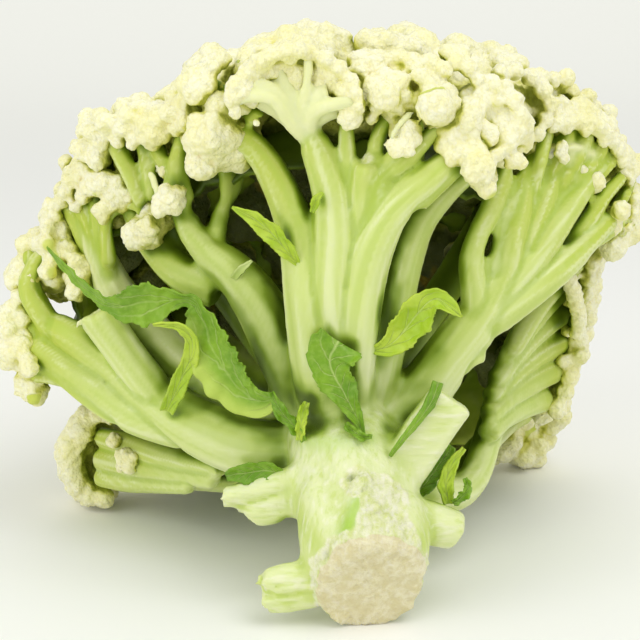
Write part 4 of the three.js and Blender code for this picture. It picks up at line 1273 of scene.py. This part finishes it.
        (89, 29, 113.1, 3.4), (92.5, 30, 111.5, 3.4), (95.8, 32, 109.4, 3.4), (98.9, 34, 106.2, 3),
        (101.2, 36, 102.6, 3), (103.3, 38, 98.2, 2.7), (78.1, 28, 116.8, 3.4), (87.5, 32, 116, 3.8),
        (97.2, 36, 111.1, 3.4), (79.9, 24, 111.2, 2.2), (87.7, 27, 110.4, 2.2), (94.7, 31, 106.2, 2.3),
        (73.7, 25, 117.6, 3.4), (75.3, 27, 119.5, 3.4), (78.4, 28, 120.1, 3.4), (81.1, 29, 118.5, 3),
        (84.8, 32, 118.9, 3.4), (87.9, 33, 118.1, 3.4), (90.8, 34, 115.8, 3), (93.4, 36, 114.1, 3.4),
        (96.4, 38, 110.9, 3), (99.1, 38, 108.6, 3), (102, 41, 104.5, 3.1), (103.9, 42, 100.6, 3.1),
        (104.1, 42, 96.9, 2.7), (72.2, 24, 114.1, 3), (80.5, 29, 115.6, 2.3), (89.8, 34, 112.8, 2.3),
        (88.3, 40, 70.6, 3.4), (91.5, 42, 74.1, 3.5), (94.7, 44, 77.5, 3.5), (97.5, 46, 73.3, 3.1),
        (93.8, 46, 69.5, 3.1), (98.8, 46, 78.7, 3.1), (90.6, 44, 66, 3.1), (94.4, 42, 113.3, 2.3),
        (98.3, 42, 108.1, 2.3), (101.6, 42, 102.5, 2.3), (104, 42, 97.6, 1.9), (107.8, 44, 89.8, 2.3),
        (109.6, 44, 82.9, 2.3), (109.5, 42, 77.1, 1.9), (107.1, 40, 72.1, 1.9), (100.1, 44, 110.9, 2.3),
        (104.4, 46, 104.6, 2.3), (107.7, 46, 98.5, 2.3), (110.2, 46, 93.2, 2.3)],
}
print(sum(map(len, LUMPS.values())), "lumps on", len(LUMPS), "heads")

# %% Openings
OPENINGS = [
    (-40.8, 2, 130.6, 5), (-83.1, 30, 98.6, 3.8), (-77, 28, 98.2, 4.1), (-72.1, 26, 98.1, 3.7),
    (66.2, 16, 101.4, 4.4), (71.7, 18, 106.6, 3.7), (78.3, 22, 107.8, 4.1), (84.5, 24, 103.9, 4.1),
    (89.3, 28, 108.8, 3), (78, 22, 96.2, 5.2), (90, 28, 92.3, 5.2), (96.2, 32, 82.3, 4.5),
    (-50.9, 14, 94.5, 3.7)]
eye = np.array(camera.location)


def stands_clear(middle, radius):
    """Whether a floret keeps out of the camera's line to every opening."""
    for *place, wide in OPENINGS:
        look = np.array(place) * MM + centre - eye
        far = np.linalg.norm(look)
        look /= far
        along = (middle - eye) @ look
        aside = np.linalg.norm(middle - eye - along * look)
        if along < far + radius and aside < wide * MM + 0.5 * radius:
            return False
    return True


# %% Heads in sight and far heads
# how far round to its underside each head in sight has florets
FRONT_HEADS = {"curd_ball": -0.9, "curd_bell": -0.2, "curd_centre": -0.3, "curd_fan": -0.5,
               "curd_left_top": -0.3, "curd_left_shoulder": -0.2, "curd_left_arm": -0.95,
               "curd_left_edge": -0.3, "curd_left_low": -0.2, "curd_back_left": -0.1,
               "curd_right_top": 0.0, "curd_right_edge": 0.0, "curd_back_right": -0.1,
               "curd_rest_right": -0.1, "curd_top_left": -0.2, "curd_top_right": -0.2}
FAR_HEADS = [n for n in nodes if n.startswith("curd_") and n not in FRONT_HEADS]
print(len(FRONT_HEADS), "heads in sight and", len(FAR_HEADS), "far ones")


# %% What a head is heaped from
FLORET_CORE = 0.82  # the ball inside a floret, as a share of its radius: knobs make up the rest
FORK_CLUSTER = 4  # florets at the end of a fork
TO_FRONT = np.array([0, -1.0, 0])


class Heap:
    """The balls and rods of one head, as they gather."""

    def __init__(self, knob, rng):
        self.knob = knob
        self.rng = rng
        self.florets, self.knobs, self.rods, self.behind = [], [], [], []

    def grow(self, middle, facing, radius, low):
        """A floret: a ball with knobs over the part that faces out."""
        self.florets.append((middle, radius * FLORET_CORE))
        self.knobs += knobs_on(middle, facing, radius, self.knob, self.rng, low)

    def over_the_solid(self, spots, facing, spacing, bulge, twigs):
        """Florets all over it, unless a branchlet or an opening needs the room."""
        for i in spaced(spots, spacing):
            radius = spacing * bulge * self.rng.uniform(0.7, 1.2)
            middle = spots[i] - facing[i] * (radius - self.rng.uniform(-0.8, 0.9) * MM)
            if twigs and (rod_gap(middle) < 0.75 * radius or not stands_clear(middle, radius)):
                continue
            self.grow(middle, facing[i], radius, -0.6)
            if twigs:
                self.rods.append(branchlet(middle, facing[i], self.rng))

    def at_the_forks(self, node):
        """A cluster of florets at the end of each fork under this head."""
        for (way, end), head in zip(FORKS, nearest_head):
            along = (end - way) / np.linalg.norm(end - way)
            for _ in range(FORK_CLUSTER if head == node else 0):
                radius = self.rng.uniform(2.8, 4.4) * MM
                middle = end + along * self.rng.uniform(0, 2.5) * MM + self.rng.normal(0, 2.2, 3) * MM
                self.grow(middle, along, radius, -0.9)

    def single_lumps(self, node):
        for *place, radius in LUMPS.get(node, ()):
            self.grow(np.array(place) * MM + centre, TO_FRONT, radius * MM, -0.95)

    def backing(self, spots, facing):
        """Two layers of plain balls under the florets, so that no light falls through the head."""
        outer = dots(facing, unit(spots - centre)) > 0.3
        for depth, spacing, off_rods, radius, layer in ((5.5, 4.4, 0.5, 3.2, self.florets),
                                                        (8.5, 5, 2.5, 3.5, self.behind)):
            under = (spots - depth * MM * facing)[outer]
            for i in spaced(under, spacing * MM):
                if rod_gap(under[i]) > off_rods * MM and stands_clear(under[i], 2 * MM):
                    layer.append((under[i], radius * MM))


# %% Granules
TEXTURES = {}


def granules(name, size):
    """A Voronoi pattern whose cells bulge, for Displace."""
    if name not in TEXTURES:
        pattern = bpy.data.textures.new(name, "VORONOI")
        pattern.distance_metric = "DISTANCE_SQUARED"
        pattern.noise_scale = size
        TEXTURES[name] = pattern
    return TEXTURES[name]


def granulated(mesh, stem, granule):
    """Two sizes of granules raised all over the curd, and none on its stems."""
    holder = new_object("holder", mesh)
    group = holder.vertex_groups.new(name="curd")
    level = np.round((1 - stem) * 10) / 10
    for value in np.unique(level):
        if value > 0:
            group.add(np.nonzero(level == value)[0].tolist(), float(value), "REPLACE")
    for name, size, strength in (("granules", 2.6 * MM, granule), ("grains", 1.5 * MM, granule * 0.65)):
        modifier = holder.modifiers.new(name, "DISPLACE")
        modifier.texture = granules(name, size)
        modifier.texture_coords = "LOCAL"
        modifier.strength = -strength * MM * 2
        modifier.mid_level = 0.35
        modifier.vertex_group = "curd"
    return baked(holder)


# %% One head
TRIES = 4500  # random places from which the florets of a head are picked


def make_head(node, seed, voxel, spacing, knob, low_facing, twigs, core, granule=0.4, bulge=0.85):
    """The florets of one head. A core set in by that many millimetres fills it, and 0 leaves it open."""
    rng = np.random.default_rng(seed)
    solid = solid_mesh(node)

    def outside(spots, facing):
        return dots(facing, unit(spots - centre)) > low_facing
    spots, facing = scattered(triangles(solid), outside, TRIES, rng)
    bpy.data.meshes.remove(solid)
    heap = Heap(knob, rng)
    heap.over_the_solid(spots, facing, spacing, bulge, twigs)
    heap.at_the_forks(node)
    heap.single_lumps(node)
    if not core:
        heap.backing(spots, facing)
    parts = balls(heap.florets + heap.behind, 2) + balls(heap.knobs, 1)
    if core:
        parts.append(copy_of(node, -core * MM))
    if heap.rods:
        parts.append(tubes(heap.rods))
    mesh = skinned(gather(parts), voxel)
    skin = Skin(mesh)
    points = skin.relax(places(mesh), 1, 0.4)
    put_places(mesh, points)
    tree = tree_of([place for place, _ in heap.florets])
    gap = np.array([found[2] - heap.florets[found[1]][1] for found in (tree.find(p) for p in points)])
    stem = skin.relax(eased(gap, 1.8 * MM, 3.4 * MM), 2) * (0 if core else 1)
    made = granulated(mesh, stem, granule)
    points = places(made)
    under = skin.relax(eased(-dots(normals(made), unit(points - centre)), 0.1, 0.8), 4)
    put_attribute(made, "stem", stem)
    put_attribute(made, "under", under)
    # the inner mark: the far heads' undersides, which the finish paints dark olive as shade
    put_attribute(made, "inner", skin.relax(under, 24) * (node in FAR_HEADS))
    measure(made, skin, points)
    finished(f"{node}_florets", made, curd, "curd", node)


# %% All heads
# voxel, spacing of the florets and size of their knobs, in millimetres
FINE, MIDDLING, COARSE = (0.86, 6.0, 1.45), (1.15, 6.0, 1.45), (1.6, 9, 2.4)
FULL_HEADS = ("curd_ball", "curd_left_arm")  # these have no stems under them
TOP_HEADS = ("curd_top_left", "curd_top_right")
CORE_DEPTH = 3
for number, (node, low_facing) in enumerate(FRONT_HEADS.items()):
    voxel, spacing, knob = (size * MM for size in (MIDDLING if node in TOP_HEADS else FINE))
    make_head(node, 10 + number, voxel, spacing, knob, low_facing, node not in FULL_HEADS,
              CORE_DEPTH if node in FULL_HEADS + TOP_HEADS else 0)
for number, node in enumerate(FAR_HEADS):
    voxel, spacing, knob = (size * MM for size in COARSE)
    make_head(node, 50 + number, voxel, spacing, knob, -0.2, False, CORE_DEPTH)


# %% [markdown]
# ## Leaves
# A few small leaves are still on. Each is a grid bent on to its spine: its width follows the stations, its
# margin is toothed and ruffled, and its blade is puckered between the veins. A Solidify modifier then gives
# it the thickness of a leaf. The veins are drawn by the blade's own UV map, so they follow every bend.

# %% Leaf finish
def leaf_finish(name, blade, light, veins=7, midrib=0.45, pale_low=0.0, pale_until=9.0):
    """Green of a blade: across runs from margin to margin and along from foot to tip, both 0 to 1."""
    leaf = Finish(name)
    place = leaf.place()
    uv = leaf.node("ShaderNodeUVMap", {"uv_map": "UVMap"})
    across = leaf.node("ShaderNodeSeparateXYZ", None, {0: uv}, 0)
    along = leaf.node("ShaderNodeSeparateXYZ", None, {0: uv}, 1)
    side = (across - 0.5).size() * 2
    cloud = leaf.noise(place, 90, 3)
    fine = leaf.noise(place, 500, 3)
    veined = 1 if veins > 1 else 0
    ridge = ((along * veins - side * 1.6 + (cloud - 0.5) * 1.2).fraction() - 0.5).size()
    vein = (1 - ridge.ease(0.0, 0.1)) * (1 - side.ease(0.5, 0.9)) * veined
    rib = (1 - side.ease(0.01, 0.09)) * veined
    colour = leaf.coats(
        leaf.mix(cloud.ease(0.3, 0.7), paint(*blade), paint(*light)),
        (fine.ease(0.4, 0.8) * 0.25, (190, 214, 110)),
        (vein * 0.35, (206, 222, 140)),
        (rib * midrib, (206, 222, 140)))
    if pale_low:
        margin = 1 - (across + (cloud - 0.5) * 0.25).ease(pale_low - 0.2, pale_low + 0.2)
        foot = 1 - along.ease(pale_until, pale_until + 0.15)
        colour = leaf.coats(colour, (margin * foot * 0.9, (192, 212, 92)))
    height = fine * 0.4 - vein * 0.5 - rib * 0.4 + leaf.noise(place, 200, 2) * 1.2
    return leaf.wear(Base_Color=colour, Roughness=0.45, Specular_IOR_Level=0.4,
                     Normal=leaf.bump(height, 0.0004))


dark_leaf = leaf_finish("leaf green", (100, 146, 16), (130, 172, 32))
broad_leaf = leaf_finish("broad leaf green", (108, 152, 18), (136, 176, 38), midrib=0.2, pale_low=0.27,
                         pale_until=0.3)
pale_leaf = leaf_finish("young leaf green", (164, 196, 36), (192, 214, 70), veins=5)
bare_leaf = leaf_finish("bare rib", (186, 206, 104), (214, 226, 150), veins=0.5)
print("four leaf finishes")


# %% One leaf
TOOTH = 0.12  # depth of the teeth as a share of half the width


def make_leaf(name, stations, seed, material, teeth, ruffle, cup, thick, columns, rows, plain_until=0.0):
    """A blade along stations of x, y, z, half width and turn, bent, toothed, ruffled and puckered."""
    place, tangent, side, up, numbers = spine_frames(stations, rows)
    turn = np.radians(numbers[:, 1])[:, None]
    across = up * np.cos(turn) + side * np.sin(turn)
    through = side * np.cos(turn) - up * np.sin(turn)
    sheet = bmesh.new()
    sheet.loops.layers.uv.new("UVMap")
    bmesh.ops.create_grid(sheet, x_segments=columns, y_segments=rows, size=1, calc_uvs=True)
    rng = np.random.default_rng(seed)
    phase = rng.uniform(0, 10, 4)
    size = numbers[:, 0].max()
    run = length(np.diff(place, axis=0)).sum()
    for vertex in sheet.verts:
        u, v = vertex.co.x, (vertex.co.y + 1) / 2
        i = min(int(round(v * rows)), rows)
        half = numbers[i, 0] * MM
        margin = abs(u) ** 6 * min(1, v * 6) * (0 if u < 0 and v < plain_until else 1)
        saw = (v * teeth + 0.3 * math.sin(v * 17 + phase[0] + u)) % 1
        wave = math.sin(v * teeth * 2.1 + phase[1] + (1.4 if u > 0 else 0))
        reach = half * u * (1 + margin * (TOOTH * (saw - 0.6) + 0.10 * math.sin(v * 23 + phase[2] + u)))
        lift = ruffle * MM * abs(u) ** 3 * wave * min(1, numbers[i, 0] / size + 0.3) * min(1, v * 5)
        lift += cup * half * (u * u - 0.3)
        pucker = noise.noise(Vector((u * half * 160 + phase[3], v * run * 160, 0)))
        pucker += 0.5 * noise.noise(Vector((u * half * 400 + phase[3], v * run * 400, 3)))
        lift += 1.1 * MM * pucker * min(1, half / (5 * MM))
        vertex.co = place[i] + across[i] * reach + through[i] * lift
    mesh = applied(mesh_of(sheet), SOLIDIFY={"thickness": thick * MM, "offset": 0})
    finished(f"{name}_blade", mesh, material, "leaf", *([name] if name in nodes else []))


# %% All leaves
LEAVES = {
    "leaf_left_large": [
        (-25, -20, 23.4, 2.4, 0), (-29.3, -17, 21.4, 5.6, 0), (-35, -14, 22.5, 8.6, 0),
        (-42, -13, 30, 10.8, 0), (-47.6, -12, 40.7, 9.8, 0), (-50.4, -10, 49.6, 6.5, 0),
        (-53, -9, 54.6, 3.6, 0), (-56.7, -8, 55.6, 2.8, 10), (-61.2, -8, 55.6, 4.6, 0),
        (-67, -7, 54.6, 7.8, 0), (-72.4, -6, 54, 8.4, 0), (-78.1, -5, 52.7, 6.2, 0), (-84, -3, 53, 3.7, 0),
        (-91.7, 2, 56.9, 2.6, 0), (-100.5, 8, 64, 1.9, 0), (-107.4, 12, 70.5, 0.3, 0)],
    "bract_left": [
        (-64.8, 4, 11.2, 2.5, 0), (-61.1, -2, 19.8, 3, 0), (-57.4, -6, 28.4, 3, 0),
        (-54, -11, 36.8, 2.8, 0), (-54.1, -13, 43.1, 2.4, 0), (-57.1, -14, 47, 2.1, 10),
        (-62, -13, 48.2, 1.4, 20), (-67.3, -12, 47.6, 0.7, 20)],
    "leaf_centre": [
        (5.9, -25, 10.4, 1, 0), (4.2, -24, 16.3, 1.7, 0), (1.4, -25, 22.4, 3.4, 0),
        (-1.8, -26, 28.8, 5.4, 0), (-5.2, -27, 35.5, 6.8, 0), (-5.6, -27, 39.7, 7.5, 0),
        (-3.9, -27, 43.3, 9.5, 0), (-2.5, -26, 45.5, 8.5, 0)],
    "leaf_right_curled": [
        (9.5, -16, 39.6, 1.4, 0), (14.6, -17, 41.3, 3.5, 0), (19.7, -18.5, 46.4, 5.5, 0),
        (24, -20, 52.8, 6.2, 0), (27.6, -21.5, 57.7, 4.8, 0), (31.3, -22.5, 59.4, 3.4, 30),
        (35.3, -23.5, 56.8, 2.4, 40), (39.5, -23.5, 53.3, 0.3, 20)],
    "leaf_stalk_edge": [
        (15.3, -27, 4.5, 0.5, 0), (18, -28, 8.8, 0.8, 0), (22, -28, 14.3, 1.2, 0),
        (26.1, -28, 19.7, 1.5, 0), (29.4, -28, 25.1, 1.9, 0), (31.5, -27, 31.2, 1.7, 0)],
    "leaf_stump_left": [
        (-21, -20, -5.7, 1, 0), (-26.5, -22, -2.7, 3.1, 0), (-32.8, -23, -2.8, 4.1, 0),
        (-38.1, -23, -3.5, 3.4, 0), (-42, -22, -4.6, 1.4, 0)],
    "leaf_curly": [
        (-14.6, -23, 8.6, 1, 0), (-17.7, -24, 14.1, 2, 0), (-21.5, -24, 18.4, 2.4, 0),
        (-24.2, -23, 22.5, 1.7, 0), (-25.7, -21, 25.8, 0.7, 0)],
    "scrap_left": [
        (-16.3, -24, 9.3, 1, 0), (-15.6, -25, 15.1, 1.7, 0), (-14.9, -24, 19.5, 1.7, 0),
        (-13.5, -22, 22.5, 1, 0)],
    "scrap_right": [
        (9, -26, 11.1, 0.7, 0), (5.5, -27, 11.8, 1.4, 0), (2.1, -27, 14, 1.4, 0), (0, -25, 15.8, 0.7, 0)],
    "leaf_right_low": [
        (24.6, -14, -15.7, 2.1, 0), (29.5, -14, -8.9, 3.5, 0), (34.1, -13, -2.5, 3.1, 0),
        (38, -12, 3.1, 1.4, 0)],
    "bract_right_low": [
        (36.8, -18, -16.5, 1.7, 0), (35.6, -18, -9, 2.8, 0), (37.7, -17, -1.9, 2.1, 0),
        (42, -15, 3.4, 0.7, 0)],
    "scrap_right_low": [
        (38.1, -20, -15.4, 1, 0), (41.2, -20, -13.2, 1.7, 0), (43.3, -20, -9.8, 1.4, 0),
        (42.2, -19, -6.4, 0.7, 0)],
    "bract_upper": [
        (-16.6, -14, 69.8, 1, 0), (-20.6, -17, 75.3, 2.8, 0), (-26, -19, 82, 3.4, 0),
        (-32, -20, 87, 2.4, 0), (-38.8, -19, 90.6, 0.3, 0)],
    "spike_left": [(-39.8, 2.5, 61, 1.2, 0), (-36.8, 0.5, 64.8, 1.4, 0), (-33, -0.5, 68, 0.4, 0)],
    "curl_centre": [
        (-11.7, -17, 88.5, 0.7, 0), (-10.7, -19, 91.9, 1.4, 0), (-9.7, -20, 94.2, 1.2, 30),
        (-8, -19, 95.4, 0.3, 0)],
}

# %% How each leaf looks
# finish, teeth, ruffle, cup, thickness, columns and rows of each leaf
LOOKS = {
    "leaf_left_large": (broad_leaf, 48, 0.9, 0.3, 0.6, 24, 200),
    "bract_left": (pale_leaf, 22, 0.4, 0.5, 0.7, 12, 60),
    "leaf_centre": (dark_leaf, 12, 1.0, 0.35, 0.6, 24, 80),
    "leaf_right_curled": (pale_leaf, 16, 0.7, 0.6, 0.6, 20, 70),
    "leaf_stalk_edge": (dark_leaf, 3, 0.2, -0.4, 0.8, 8, 40),
    "leaf_stump_left": (dark_leaf, 9, 0.5, 0.3, 0.6, 16, 50),
    "leaf_curly": (dark_leaf, 8, 1.8, 0.5, 0.6, 16, 50),
    "scrap_left": (pale_leaf, 7, 1.6, 0.5, 0.6, 12, 40),
    "scrap_right": (dark_leaf, 6, 1.5, 0.5, 0.6, 12, 40),
    "leaf_right_low": (dark_leaf, 8, 1.2, 0.3, 0.6, 16, 50),
    "bract_right_low": (pale_leaf, 8, 0.6, 0.5, 0.7, 12, 40),
    "scrap_right_low": (dark_leaf, 8, 1.6, 0.5, 0.6, 12, 40),
    "bract_upper": (pale_leaf, 12, 0.5, 0.5, 0.6, 14, 50),
    "spike_left": (bare_leaf, 0, 0.2, 0.3, 0.8, 8, 20),
    "curl_centre": (pale_leaf, 4, 0.4, 0.5, 0.7, 8, 20),
}
HALF_TOOTHED = "leaf_left_large"  # one margin of its lower third has no teeth
for number, (name, stations) in enumerate(LEAVES.items()):
    make_leaf(name, stations, number, *LOOKS[name], plain_until=0.36 if name == HALF_TOOTHED else 0)


# %% [markdown]
# ## The inside of the head
# Between the stalks one looks into a thicket of little branchlets and the undersides of the far florets. It
# is one bumpy sheet here, some way under the far heads, so that no light falls through the head. Its flesh is
# painted dark green as shade.

# %% The thicket
DOME_CENTRE = centre + np.array([-7, 58, 17]) * MM
DOME_SHAPE = np.array([1.08, 1, 1])
THICKET_RADIUS = 93
THICKET_EDGE = math.radians(84)  # how far round from the head's axis the sheet reaches
LOWEST = 6 * MM


def make_thicket():
    """A bowl of knotted flesh, set in from the heads on all sides and cut off above the table."""
    sheet = bmesh.new()
    bmesh.ops.create_icosphere(sheet, subdivisions=6, radius=1)
    axis = np.array(HEAD_AXIS)
    gone = [v for v in sheet.verts if np.array(v.co) @ axis < math.cos(THICKET_EDGE)]
    bmesh.ops.delete(sheet, geom=gone, context="VERTS")
    for vertex in sheet.verts:
        way = np.array(vertex.co)
        knot = 3 * noise.noise(Vector(way) * 9) + 2 * noise.noise(Vector(way) * 22)
        vertex.co = DOME_CENTRE + way * DOME_SHAPE * (THICKET_RADIUS + knot) * MM
    bmesh.ops.bisect_plane(sheet, geom=sheet.verts[:] + sheet.edges[:] + sheet.faces[:],
                           plane_co=(0, 0, LOWEST), plane_no=(0, 0, -1), clear_outer=True)
    mesh = applied(mesh_of(sheet), SOLIDIFY={"thickness": 2 * MM, "offset": 0})
    skin = Skin(mesh)
    points = places(mesh)
    # inner 1 among these levels, with its shelter, paints the sheet dark green as shade
    for name, level in PLAIN_LEVELS:
        put_attribute(mesh, name, np.full(skin.size, float(level)))
    measure(mesh, skin, points)
    finished("thicket", mesh, flesh, "stalk")


make_thicket()

# %% [markdown]
# ## Shelter
# Flesh and curd that light hardly reaches are painted greener and darker, as shade. Each vertex looks out in
# a few directions through a coarse grid of the whole vegetable, and the share of directions that are blocked
# is its shelter.

# %% Shelter
CELL = 3 * MM
DIRECTIONS = 26
FURTHEST = 22  # steps along each direction


def shelter_all(pieces):
    """Writes on every piece the share of the light round it that other flesh keeps off."""
    low = np.array(cad_low) - 2 * CELL
    shape = np.ceil((np.array(cad_high) + 3 * CELL - low) / CELL).astype(int)
    filled = np.zeros(shape, bool)
    for piece in pieces:
        cell = ((places(piece.data) - low) / CELL).astype(int)
        filled[tuple(cell.T)] = True
    for piece in pieces:
        points, facing = places(piece.data), normals(piece.data)
        start = points + facing * 1.6 * CELL
        seen, whole = np.zeros(len(points)), np.zeros(len(points))
        for look in spread_ways(DIRECTIONS):
            weight = facing @ look
            pick = np.nonzero(weight > 0.15)[0]
            blocked = np.zeros(len(pick), bool)
            for far in np.arange(1, FURTHEST) * 0.9 * CELL:
                cell = ((start[pick] + look * far - low) / CELL).astype(int)
                inside = np.all((cell >= 0) & (cell < shape), axis=1)
                cell[~inside] = 0
                blocked |= inside & filled[tuple(cell.T)]
            seen[pick] += weight[pick] * ~blocked
            whole[pick] += weight[pick]
        shelter = 1 - seen / np.maximum(whole, 1e-6)
        put_attribute(piece.data, "shelter", Skin(piece.data).relax(shelter, 4))


shelter_all(pieces)
